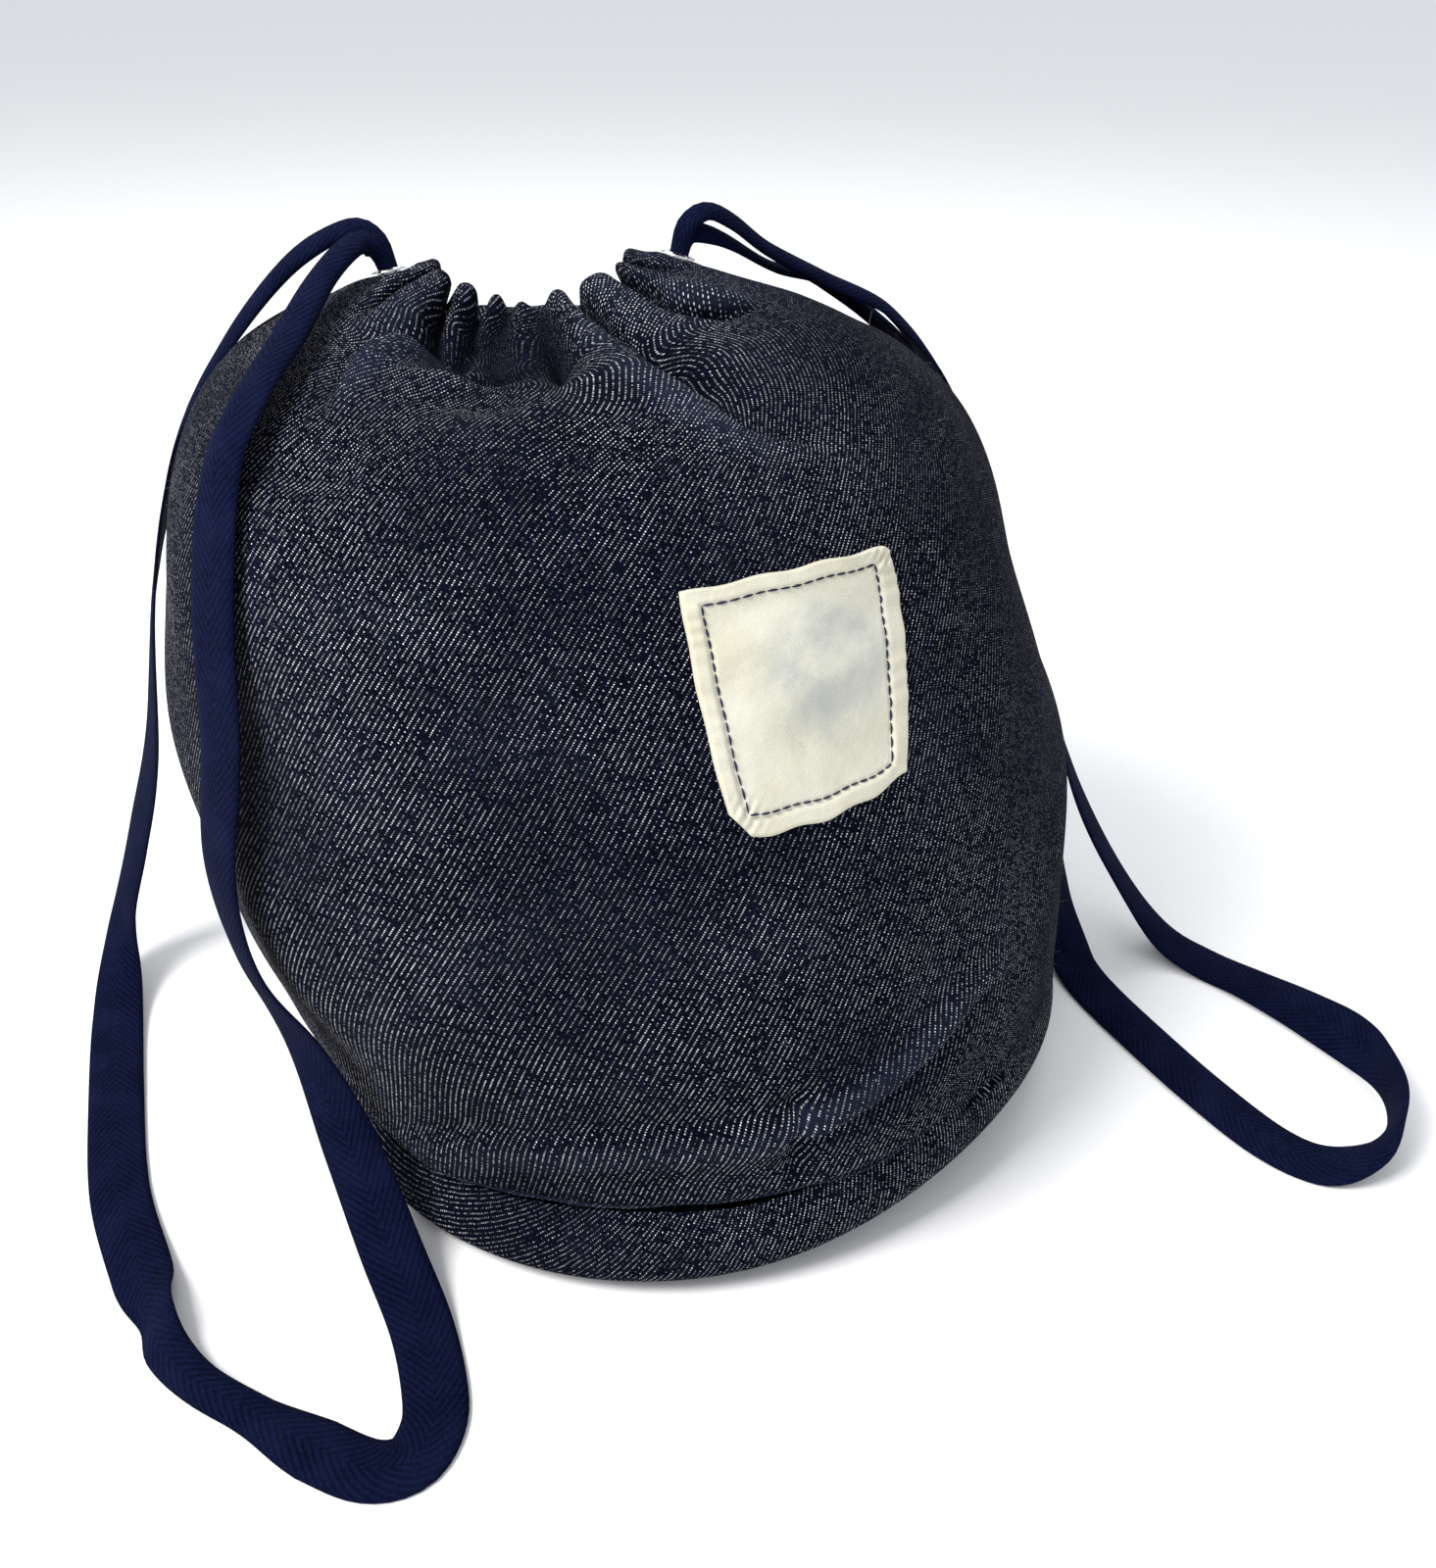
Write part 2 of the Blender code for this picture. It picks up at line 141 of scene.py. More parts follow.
def grid_mesh(name, points, uv, closed=False):
    """Mesh from a (rows, columns, 3) array in mm, with a UV map from a (rows, columns, 2) one.

    A closed grid wraps around its columns; its UV array has one column more than its points.
    """
    rows, columns = points.shape[:2]
    i, j = np.meshgrid(np.arange(rows - 1), np.arange(columns if closed else columns - 1),
                       indexing="ij")
    k = (j + 1) % columns
    faces = np.stack([i * columns + j, i * columns + k, (i + 1) * columns + k,
                      (i + 1) * columns + j], -1).reshape(-1, 4)
    mesh = bpy.data.meshes.new(name)
    mesh.from_pydata((points.reshape(-1, 3) * MM).tolist(), [], faces.tolist())
    corners = np.stack([uv[i, j], uv[i, j + 1], uv[i + 1, j + 1], uv[i + 1, j]], 2)
    layer = mesh.uv_layers.new(name="cloth")
    layer.data.foreach_set("uv", corners.reshape(-1).astype(np.float32))
    mesh.polygons.foreach_set("use_smooth", [True] * len(mesh.polygons))
    mesh.update()
    return show(name, mesh)


def point_attribute(piece, name, values):
    """Store one number for each point of the piece."""
    layer = piece.data.attributes.new(name, "FLOAT", "POINT")
    layer.data.foreach_set("value", np.asarray(values, np.float32).reshape(-1))


def finish_with(piece, material):
    """Give the piece one material."""
    piece.data.materials.clear()
    piece.data.materials.append(material)


class Nodes:
    """A thin wrapper that adds and joins shader nodes with short calls."""

    def __init__(self, name):
        self.material = bpy.data.materials.new(name)
        self.material.use_nodes = True
        self.tree = self.material.node_tree
        self.shader = self.tree.nodes["Principled BSDF"]

    def feed(self, socket, value):
        """Set a socket to a number or colour, or join it to another node's output."""
        if isinstance(value, bpy.types.NodeSocket):
            self.tree.links.new(value, socket)
        elif isinstance(value, tuple) and len(value) == 3 and socket.type == "RGBA":
            socket.default_value = (*value, 1)
        else:
            socket.default_value = value

    def math(self, operation, a, b=0.0):
        """One Math node."""
        node = self.tree.nodes.new("ShaderNodeMath")
        node.operation = operation
        for socket, value in zip(node.inputs, (a, b)):
            self.feed(socket, value)
        return node.outputs[0]

    def add(self, a, b):
        """a + b."""
        return self.math("ADD", a, b)

    def sub(self, a, b):
        """a - b."""
        return self.math("SUBTRACT", a, b)

    def mul(self, a, b):
        """a times b."""
        return self.math("MULTIPLY", a, b)

    def div(self, a, b):
        """a over b."""
        return self.math("DIVIDE", a, b)

    def fract(self, a):
        """What is left of a after its whole part."""
        return self.math("FRACT", a)

    def floor(self, a):
        """The whole part of a."""
        return self.math("FLOOR", a)

    def size(self, a):
        """a without its sign."""
        return self.math("ABSOLUTE", a)

    def wave(self, a):
        """A triangle wave: 1 where a is a whole number and 0 halfway between."""
        return self.size(self.sub(self.mul(self.fract(a), 2.0), 1.0))

    def mix(self, factor, a, b, blend="MIX"):
        """Mix two colours."""
        node = self.tree.nodes.new("ShaderNodeMix")
        node.data_type = "RGBA"
        node.blend_type = blend
        self.feed(node.inputs["Factor"], factor)
        self.feed(node.inputs[6], a)
        self.feed(node.inputs[7], b)
        return node.outputs[2]

    def ramp(self, value, low, high, to_low=0.0, to_high=1.0, smooth=True):
        """Map a range of values onto another."""
        node = self.tree.nodes.new("ShaderNodeMapRange")
        node.interpolation_type = "SMOOTHSTEP" if smooth else "LINEAR"
        for name, item in (("Value", value), ("From Min", low), ("From Max", high),
                           ("To Min", to_low), ("To Max", to_high)):
            self.feed(node.inputs[name], item)
        return node.outputs[0]

    def attribute(self, name):
        """A number stored at the mesh's points."""
        node = self.tree.nodes.new("ShaderNodeAttribute")
        node.attribute_name = name
        return node.outputs["Fac"]

    def uv(self):
        """The place in the flat cloth, in mm, as two numbers and as a vector."""
        node = self.tree.nodes.new("ShaderNodeUVMap")
        node.uv_map = "cloth"
        parts = self.tree.nodes.new("ShaderNodeSeparateXYZ")
        self.tree.links.new(node.outputs[0], parts.inputs[0])
        return parts.outputs[0], parts.outputs[1], node.outputs[0]

    def noise(self, vector, scale, detail=2.0, roughness=0.5, distortion=0.0):
        """Smooth noise, about 0.5 on average."""
        node = self.tree.nodes.new("ShaderNodeTexNoise")
        self.feed(node.inputs["Vector"], vector)
        for name, item in (("Scale", scale), ("Detail", detail), ("Roughness", roughness),
                           ("Distortion", distortion)):
            self.feed(node.inputs[name], item)
        return node.outputs[0]

    def speckle(self, vector):
        """A different random number for each vector."""
        node = self.tree.nodes.new("ShaderNodeTexWhiteNoise")
        node.noise_dimensions = "3D"
        self.feed(node.inputs["Vector"], vector)
        return node.outputs[0]

    def vector(self, x, y, z=0.0):
        """Three numbers as a vector."""
        node = self.tree.nodes.new("ShaderNodeCombineXYZ")
        for socket, value in zip(node.inputs, (x, y, z)):
            self.feed(socket, value)
        return node.outputs[0]

    def bump(self, height, distance, strength=1.0, normal=None):
        """A bump of so many metres."""
        node = self.tree.nodes.new("ShaderNodeBump")
        self.feed(node.inputs["Height"], height)
        node.inputs["Distance"].default_value = distance
        node.inputs["Strength"].default_value = strength
        if normal is not None:
            self.feed(node.inputs["Normal"], normal)
        return node.outputs[0]

    def surface(self, colour, roughness, normal=None, sheen=0.0, metallic=0.0):
        """Feed the Principled shader."""
        self.feed(self.shader.inputs["Base Color"], colour)
        self.feed(self.shader.inputs["Roughness"], roughness)
        self.feed(self.shader.inputs["Metallic"], metallic)
        self.feed(self.shader.inputs["Sheen Weight"], sheen)
        self.shader.inputs["Sheen Roughness"].default_value = 0.5
        self.shader.inputs["Specular IOR Level"].default_value = 0.5 if metallic else 0.05
        if normal is not None:
            self.feed(self.shader.inputs["Normal"], normal)
        return self.material


# %% [markdown]
# ## Herringbone tape
#
# The drawstrings are flat cotton tape. Its weave is a twill whose slope turns over at the
# middle, which draws a chevron. Three numbers do it: the thread across, the thread along, and
# the distance from the middle, whose size without its sign makes the two halves mirror images.


# %% Herringbone material
def herringbone_material():
    """Navy twill tape whose ribs meet in a chevron at the middle."""
    n = Nodes("navy_herringbone")
    across, along, place = n.uv()
    end, pick = 0.46, 0.62
    half = n.size(across)
    i = n.floor(n.div(half, end))
    j = n.floor(n.div(along, pick))
    fi = n.sub(n.fract(n.div(half, end)), 0.5)
    fj = n.sub(n.fract(n.div(along, pick)), 0.5)
    rib = n.math("FLOORED_MODULO", n.add(n.div(half, end), n.div(along, pick)), 4.0)
    crest = n.size(n.sub(n.div(rib, 2.0), 1.0))
    thread = n.sub(1.0, n.mul(n.add(n.mul(fi, fi), n.mul(fj, fj)), 2.0))
    grain = n.speckle(n.vector(i, j))
    blotch = n.noise(place, 0.09, 3)
    fuzz = n.noise(place, 2.6, 3)
    light = n.add(n.mul(crest, 0.42), n.mul(grain, 0.28))
    light = n.add(light, n.mul(n.sub(fuzz, 0.5), 0.9))
    colour = n.mix(n.ramp(light, 0.0, 0.95), (0.0007, 0.0014, 0.0075), (0.0046, 0.0085, 0.040))
    colour = n.mix(n.ramp(blotch, 0.35, 0.75, 0.0, 0.35), colour, (0.0065, 0.0105, 0.038))
    selvedge = n.ramp(half, 6.6, 7.2, 0.0, 0.5)
    colour = n.mix(selvedge, colour, (0.003, 0.004, 0.020))
    height = n.add(n.mul(crest, 0.6), n.mul(thread, 0.4))
    normal = n.bump(height, 0.00022, 0.9)
    return n.surface(colour, 0.97, normal)


TAPE_FINISH = herringbone_material()

# %% [markdown]
# ## The tapes
#
# Each drawstring is one loop of 15 mm tape: out through its eyelet, down beside the pouch,
# round on the table and back up. Its route is a short list of points. Each also
# says which way the tape's face looks and how wide it lies, because the tape bunches up where
# it squeezes through the eyelet. A smooth curve goes through the points, and a ring of points
# round the tape's section is swept along it. Where the tape is bunched, the section is an arc.

# %% Tape routes
LEFT_ROUTE = [
    (-65.3, 1.3, 205.9, 0, -1, .2, .22), (-67.2, 3.1, 215.5, 0, -1, .2, .22),
    (-69.6, 2.2, 220.6, -.3, -1, .6, .32), (-74, -1, 221.5, -.3, -.6, 1, .50),
    (-80, -11, 216, -.3, -.3, 1, .66), (-85, -27, 207.5, -.25, -.28, 1, .80),
    (-91, -46, 198, -.44, -.5, .75, .90), (-97, -54, 184, -.58, -.64, .5, 1),
    (-99.5, -67, 157, -.6, -.75, .28, 1), (-100, -77, 128, -.64, -.75, .18, 1),
    (-104, -82, 98, -.73, -.68, .05, 1), (-101.5, -83, 71, -.8, -.6, .1, 1),
    (-91, -85, 47, -.7, -.5, .5, 1), (-80, -96, 25, -.4, -.32, .85, 1),
    (-68, -115, 8.5, -.15, -.12, 1, 1), (-58, -133, 1.8, 0, 0, 1, 1),
    (-52.2, -150, .8, 0, 0, 1, 1), (-51.3, -159.5, .8, 0, 0, 1, 1),
    (-54.8, -167.6, .8, 0, 0, 1, 1), (-63.5, -169.6, .8, 0, 0, 1, 1),
    (-76, -164.6, .8, 0, 0, 1, 1), (-91, -156.8, 1.2, 0, -.1, 1, .66),
    (-106, -149, 2.2, -.1, -.3, 1, .60), (-116.5, -140.5, 3.2, -.3, -.4, .85, .72),
    (-122, -131, 3.6, -.7, -.3, .7, .85), (-130, -116.5, 1.4, -.2, 0, 1, 1),
    (-144.5, -90, .8, 0, 0, 1, 1), (-157, -56, .8, 0, 0, 1, 1),
    (-170, -15, 2.6, -.2, 0, 1, 1), (-173, 6, 17, -.55, -.4, .7, 1),
    (-165, 13, 44, -.8, -.6, .3, 1), (-154, 12, 77, -.85, -.5, .25, 1),
    (-142, 10, 129, -.94, -.25, .2, 1), (-128, 14, 170, -.9, 0, .45, 1),
    (-111, 10, 195, -.75, -.2, .65, .85), (-92, 8, 215, -.4, -.3, .85, .60),
    (-77, 7.5, 223.4, -.1, -.5, .9, .40), (-69.8, 6.6, 221.5, 0, -1, .4, .26),
    (-67.2, 5.1, 215.5, 0, -1, .2, .22), (-65.3, 3.3, 205.9, 0, -1, .2, .22),
]
RIGHT_ROUTE = [
    (.6, 1.5, 209.7, 0, -1, .2, .22), (3.2, 3.1, 218.7, 0, -1, .2, .22),
    (5.2, 3.9, 225.2, -.3, -.9, .4, .34), (10, 5.5, 228, -.1, -.8, .8, .42),
    (16.5, 9.5, 224.5, .3, -.6, .8, .50), (25, 16, 217, .45, -.3, .85, .65),
    (40, 25.5, 207.5, .45, 0, .9, .90), (57, 32, 198, .5, .1, .85, 1),
    (72, 36.5, 180, .75, .2, .55, 1), (83, 38, 156, .9, .25, .4, 1),
    (95, 35.5, 126, .9, .2, .3, 1), (110, 30.5, 89, .95, 0, .3, 1),
    (125, 27, 51, .9, -.2, .4, 1), (140, 23, 24, .82, -.2, .6, 1),
    (154, 15.5, 6, .35, -.1, 1, 1), (166, 6.5, 1.2, 0, 0, 1, 1),
    (178, -5, 1.6, -.1, 0, 1, 1), (189, -20, 3.6, -.35, -.2, 1, 1),
    (196.5, -36, 6.4, -.8, -.2, .6, 1), (200, -50, 7.9, -1, -.1, .1, 1),
    (199.5, -62, 7.9, -1, .2, .1, 1), (194.5, -72.5, 7.4, -.8, .6, .3, 1),
    (186, -79.5, 4.2, -.3, .4, .9, 1), (175, -80, 1, 0, 0, 1, 1),
    (163, -71, .8, 0, 0, 1, 1), (150, -50.5, .8, 0, 0, 1, 1),
    (138.5, -28, .8, 0, 0, 1, 1), (129, -7, .8, 0, 0, 1, 1),
    (124.8, 8, 2.2, .2, 0, 1, 1), (124, 23, 12, .65, 0, .75, 1),
    (119, 40, 46, .9, 0, .32, 1), (104, 55, 96, .88, .3, .22, 1),
    (88, 58, 142, .82, .4, .35, 1), (66, 50, 181, .6, .4, .65, 1),
    (42, 38, 203, .4, .3, .9, .88), (26, 24.5, 211, .4, 0, .9, .60),
    (14.5, 11, 220, .3, -.6, .75, .40), (6.4, 6.3, 222.8, .1, -1, .3, .28),
    (3.2, 5.1, 218.7, 0, -1, .2, .22), (.6, 3.5, 209.7, 0, -1, .2, .22),
]
TAPE_WIDTH = 15.0
TAPE_THICKNESS = 1.0
FLOOR_GAP = 0.05
FLATTEN = 0.45          # a bunched tape is pressed flatter than a free arc
# beyond its eyelet a tape stays squeezed for a while: mm from the eyelet, and share of its width
SQUEEZE = ((0, 10, 23, 31, 43, 63, 83, 106), (1, 1, 0.57, 0.48, 0.43, 0.47, 0.70, 1))


# %% Tape shapes
def smooth_curve(points, t):
    """Catmull-Rom curve through the rows of an array, at an array of places."""
    points = np.asarray(points, float)
    last = len(points) - 1
    t = np.clip(np.asarray(t, float), 0, last)
    i = np.minimum(t.astype(int), last - 1)
    f = (t - i)[..., None]
    p, q = points[np.maximum(i - 1, 0)], points[i]
    r, s = points[i + 1], points[np.minimum(i + 2, last)]
    return 0.5 * (2 * q + (r - p) * f + (2 * p - 5 * q + 4 * r - s) * f ** 2
                  + (3 * q - p - 3 * r + s) * f ** 3)


def unit(vectors):
    """Vectors of length one."""
    return vectors / np.linalg.norm(vectors, axis=-1, keepdims=True)


def even_stations(route, step):
    """Rows of the route's curve at even steps along it, and the distance of each."""
    fine = smooth_curve(route, np.linspace(0, len(route) - 1, len(route) * 40))
    run = np.concatenate([[0], np.cumsum(np.linalg.norm(np.diff(fine[:, :3], axis=0), axis=1))])
    places = np.linspace(0, run[-1], int(run[-1] / step) + 1)
    rows = np.stack([np.interp(places, run, fine[:, k]) for k in range(fine.shape[1])], -1)
    return rows, places


def arc_section(chord, span, count):
    """Points of an arc of a given length whose ends are a chord apart, and their directions."""
    low, high = 1e-3, pi * 0.98
    for _ in range(30):
        middle = (low + high) / 2
        low, high = (middle, high) if sin(middle) / middle > chord / span else (low, middle)
    radius = span / (2 * low)
    angles = np.linspace(-low, low, count)
    bend = radius * (np.cos(angles) - cos(low) / 2 - 0.5)
    return radius * np.sin(angles), bend * FLATTEN, angles


def build_tape(name, route, squeezed):
    """Sweep the tape's section along its route."""
    rows, along = even_stations(route, 2.0)
    from_eyelet = np.minimum(along, along[-1] - along)
    rows[:, 6] *= 1 - squeezed * (1 - np.interp(from_eyelet, *SQUEEZE))
    middle = rows[:, :3]
    forward = unit(np.gradient(middle, axis=0))
    across = unit(np.cross(forward, rows[:, 3:6]))
    face = np.cross(across, forward)
    ring, uv = [], []
    count = 9
    flutter = np.cumsum(RNG.normal(0, 1, len(rows) + 8))
    flutter = np.convolve(flutter - np.linspace(flutter[0], flutter[-1], len(flutter)),
                          np.ones(9) / 9, "valid")
    for k, width in enumerate(np.clip(rows[:, 6], 0.2, 1.0)):
        span = TAPE_WIDTH * min(1.0, width * 2.4)
        chord = max(min(TAPE_WIDTH * width, span * 0.995), 0.3)
        x, bend, turn = arc_section(chord, span, count)
        bend = bend + 0.10 * np.clip(flutter[k], -2, 2) * (x / TAPE_WIDTH * 2) ** 2 * width
        thin = TAPE_THICKNESS / 2 * np.interp(width, [0.2, 0.5], [0.75, 1.0])
        thin = thin * (1 - 0.35 * np.abs(np.linspace(-1, 1, count)) ** 8)
        top = np.stack([x + thin * np.sin(turn), bend + thin * np.cos(turn)], -1)
        low = np.stack([x - thin * np.sin(turn), bend - thin * np.cos(turn)], -1)[::-1]
        section = np.concatenate([top, low])
        around = middle[k] + section[:, :1] * across[k] + section[:, 1:] * face[k]
        # the tape rests on the floor: its upper side stays a thickness above its lower one
        floor = np.repeat([FLOOR_GAP + 2 * thin.min(), FLOOR_GAP], count)
        around[:, 2] = np.maximum(around[:, 2], floor)
        ring.append(around)
        cloth = np.linspace(-TAPE_WIDTH / 2, TAPE_WIDTH / 2, count)
        cloth = np.concatenate([cloth, cloth[::-1], cloth[:1]])
        uv.append(np.stack([cloth, np.full(len(cloth), along[k])], -1))
    tape = grid_mesh(name, np.array(ring), np.array(uv), closed=True)
    close_ends(tape, len(rows), 2 * count)
    finish_with(tape, TAPE_FINISH)
    return tape, middle, along[-1]


def close_ends(piece, rows, columns):
    """Fill the first and last ring of a swept mesh."""
    work = bmesh.new()
    work.from_mesh(piece.data)
    work.verts.ensure_lookup_table()
    work.faces.new(work.verts[:columns])
    work.faces.new(list(reversed(work.verts[(rows - 1) * columns:])))
    bmesh.ops.recalc_face_normals(work, faces=work.faces)
    work.to_mesh(piece.data)
    work.free()


def add_drawstring(name, route, squeezed):
    tape, middle, length = build_tape(name, route, squeezed)
    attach(tape, "root")
    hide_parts(name[:-5])
    print(name, "is", round(length), "mm long")
    return tape


add_drawstring("left_drawstring_tape", LEFT_ROUTE, 0.35)
add_drawstring("right_drawstring_tape", RIGHT_ROUTE, 1.0)

# %% [markdown]
# ## The wall's shape
#
# A filled bag is neither turned nor extruded, so its wall is a loft: rings from the base seam
# up to the mouth, each with its height, middle, half sizes and squareness. Two numbers address
# a point: the angle round the pouch and the level in rings. Folds are then pressed into that
# smooth form along lines drawn on the cloth, and each fold also pulls the cloth beside it
# sideways into the crease, as real gathers do.

# %% Wall rings
RINGS = [
    (14, 4, -4, 107, 110, 2.0), (38, -1, -2, 113, 113, 2.0), (72, -10, 0, 119, 114, 2.0),
    (105, -15, 2, 118, 109, 2.0), (138, -20, 3, 111, 100, 2.0), (164, -22, 3, 104, 90, 2.0),
    (183, -23, 3, 94, 78, 2.1), (196, -25, 3, 80, 62, 2.2), (207, -29, 2, 61, 40, 2.4),
    (214, -32, 2, 44, 22, 2.8), (219, -32, 2, 24, 9, 2.8),
]
TOP = len(RINGS) - 1
SEAM_HEIGHTS = (24, 12, 10, 10, 10, 12, 20, 31)
SADDLE = 8
MOUTH_SLOPE = 0.05
CIRCUMFERENCE = 700.0


def seam_height(angle):
    """Height of the base seam at an angle."""
    place = (angle % 360) / 45
    i = place.astype(int)
    f = place - i
    blend = f * f * (3 - 2 * f)
    heights = np.array(SEAM_HEIGHTS, float)
    return heights[i % 8] * (1 - blend) + heights[(i + 1) % 8] * blend


def smooth_wall(angle, level):
    """The wall before its folds: angle in degrees, level in rings."""
    height, cx, cy, half_x, half_y, square = np.moveaxis(smooth_curve(RINGS, level), -1, 0)
    c, s = np.cos(np.radians(angle)), np.sin(np.radians(angle))
    power = 2 / square
    top = np.clip((level - 7) / 3, 0, 1)
    x = cx + half_x * np.abs(c) ** power * np.sign(c)
    y = cy + half_y * np.abs(s) ** power * np.sign(s)
    z = height + (seam_height(angle) - RINGS[0][0]) * np.clip(1 - level / 2, 0, 1) ** 1.5
    z = z + top * (MOUTH_SLOPE * (x - cx) - SADDLE * np.abs(s) ** 1.5)
    return np.stack([x, y, z], -1)


def wall_frame(angle, level):
    """Point, outward normal, sideways and upward directions of the smooth wall."""
    step = 0.02
    point = smooth_wall(angle, level)
    side = unit(smooth_wall(angle + step, level) - smooth_wall(angle - step, level))
    low, high = np.clip(level - step, 0, TOP), np.clip(level + step, 0, TOP)
    up = unit(smooth_wall(angle, high) - smooth_wall(angle, low))
    return point, unit(np.cross(side, up)), side, up


# %% [markdown]
# ## Gathers
#
# A drawstring gathers 700 mm of cloth into a mouth a third as long. The spare cloth hides in
# valleys, while the ridges between them keep the weave at its true size. So each valley here
# has a line down the wall, a depth, and an amount of cloth that it swallows; the columns of
# the mesh are moved round the ring until every column has its share of cloth.

# %% Gathers
# Each valley: depth in mm, share of the spare cloth, and its line as (level, angle, strength)
# from the mouth down.
VALLEYS = [
    (5.0, .6, [(10, 196, 1), (9.6, 203, .9), (9.2, 214, .6), (8.7, 222, 0)]),
    (8.5, 1, [(10, 229, 1), (9.5, 241, 1), (9, 249, 1), (8.45, 251, .7), (7.9, 250, 0)]),
    (8.5, 1, [(10, 251, 1), (9.5, 255, 1), (9.05, 260, 1), (8.5, 257, .8), (8.0, 254, 0)]),
    (6.5, 1, [(10, 264, .8), (9.5, 265, .9), (8.85, 266.5, 1), (8.3, 266, 1), (7.8, 265, .4),
              (7.2, 263, 0)]),
    (6.5, 1, [(10, 272, .8), (9.5, 272.5, .9), (8.75, 273.5, 1), (8.3, 274, 1), (7.9, 273, .5),
              (7.4, 272, 0)]),
    (7.0, 1.3, [(10, 287, 1), (9.5, 286, 1), (9.1, 285, 1), (8.6, 286.5, 1), (8.2, 290, .8),
                (7.7, 293.5, .6), (7.2, 297, .4), (6.8, 302, .2), (6.4, 310, 0)]),
    (8.0, 1, [(10, 318, 1), (9.5, 315, 1), (9.1, 315, .8), (8.7, 321, .5), (8.2, 326, 0)]),
    (4.0, .6, [(10, 338, 1), (9.6, 340, .8), (9.2, 342, 0)]),
    (4.0, .8, [(10, 12, 1), (9.5, 12, .9), (9, 14, .8), (8, 16, .4), (7, 17, 0)]),
    (9.0, 1, [(10, 38, 1), (9.5, 36, 1), (8.8, 34, .8), (8, 31, .6), (6.5, 30, .2), (6, 30, 0)]),
    (9.0, 1, [(10, 59, 1), (9.5, 58, 1), (8.6, 55, .8), (7.4, 54, .2), (6.6, 54, 0)]),
    (9.5, 1, [(10, 78, 1), (9.5, 78, 1), (8.6, 79, .9), (7.8, 80, .6), (6.5, 80, .2), (6, 82, 0)]),
    (9.5, 1, [(10, 95, 1), (9.5, 96, 1), (8.7, 97, .8), (7.8, 99, .2), (7.0, 99, 0)]),
    (9.0, 1, [(10, 112, 1), (9.5, 113, 1), (8.6, 116, .9), (7.7, 119, .6), (6.5, 121, .2),
              (6, 123, 0)]),
    (8.5, 1, [(10, 131, 1), (9.5, 132, 1), (8.8, 135, .8), (7.9, 137, .2), (7.2, 138, 0)]),
    (8.0, 1, [(10, 150, 1), (9.5, 150, 1), (8.7, 150, .8), (8, 150, .6), (6.8, 150, 0)]),
    (5.0, .8, [(10, 168, 1), (9.6, 166, .8), (9, 168, .6), (8, 180, .4), (7, 190, 0)]),
]


def valley_line(line, level):
    """Angle and strength of a valley at each level."""
    levels, angles, strengths = np.array(line[::-1], float).T
    return np.interp(level, levels, angles), np.interp(level, levels, strengths)


def valley_width(level):
    """Half width of a valley in degrees: narrow at the mouth, wider where it fades."""
    return np.interp(level, [6.5, 8, 9, 10], [8.0, 4.6, 3.2, 3.0])


def share_cloth(cloth_angle, level):
    """Angle round the ring of each column of cloth, after the valleys take their share."""
    fine = np.linspace(-180, 540, 2881)
    out = np.empty_like(cloth_angle)
    for row in range(len(cloth_angle)):
        here = level[row, 0]
        lines = [valley_line(line, here) for depth, share, line in VALLEYS]
        shares = [share * s * np.interp(here, [6.5, 8.5], [0.25, 1.0])
                  for (depth, share, line), (m, s) in zip(VALLEYS, lines)]
        spare = 27 * sum(shares)
        taken = np.zeros_like(fine)
        for (middle, strength), share in zip(lines, shares):
            for turn in (-360, 0, 360):
                taken += share / max(sum(shares), 1e-6) * spare / (1 + np.exp(
                    -3.0 * (fine - middle - turn) / valley_width(here)))
        used = fine + taken
        used = (used - np.interp(90, fine, used)) * 360 / (360 + spare) + 90
        out[row] = np.interp(cloth_angle[row], used, fine)
    return out


def valley_depth(angle, level):
    """How far the valleys press in, in mm."""
    depth = np.zeros_like(angle)
    for deep, _, line in VALLEYS:
        middle, strength = valley_line(line, level)
        away = (angle - middle + 180) % 360 - 180
        x = away / valley_width(level)
        depth = depth + deep * strength * (0.72 * np.exp(-x ** 2) + 0.28 * np.exp(-(x / 2.4) ** 2))
    return depth


# %% [markdown]
# ## Creases and laps
#
# Other folds don't start at the mouth. A groove is a line pressed in; a lap is a fold whose
# one side swells and hangs over the other, which is what makes the dark slots under the
# mouth's folds and above the base. Both follow a line of points on the cloth. The distance
# from that line says how far each point of the wall moves.

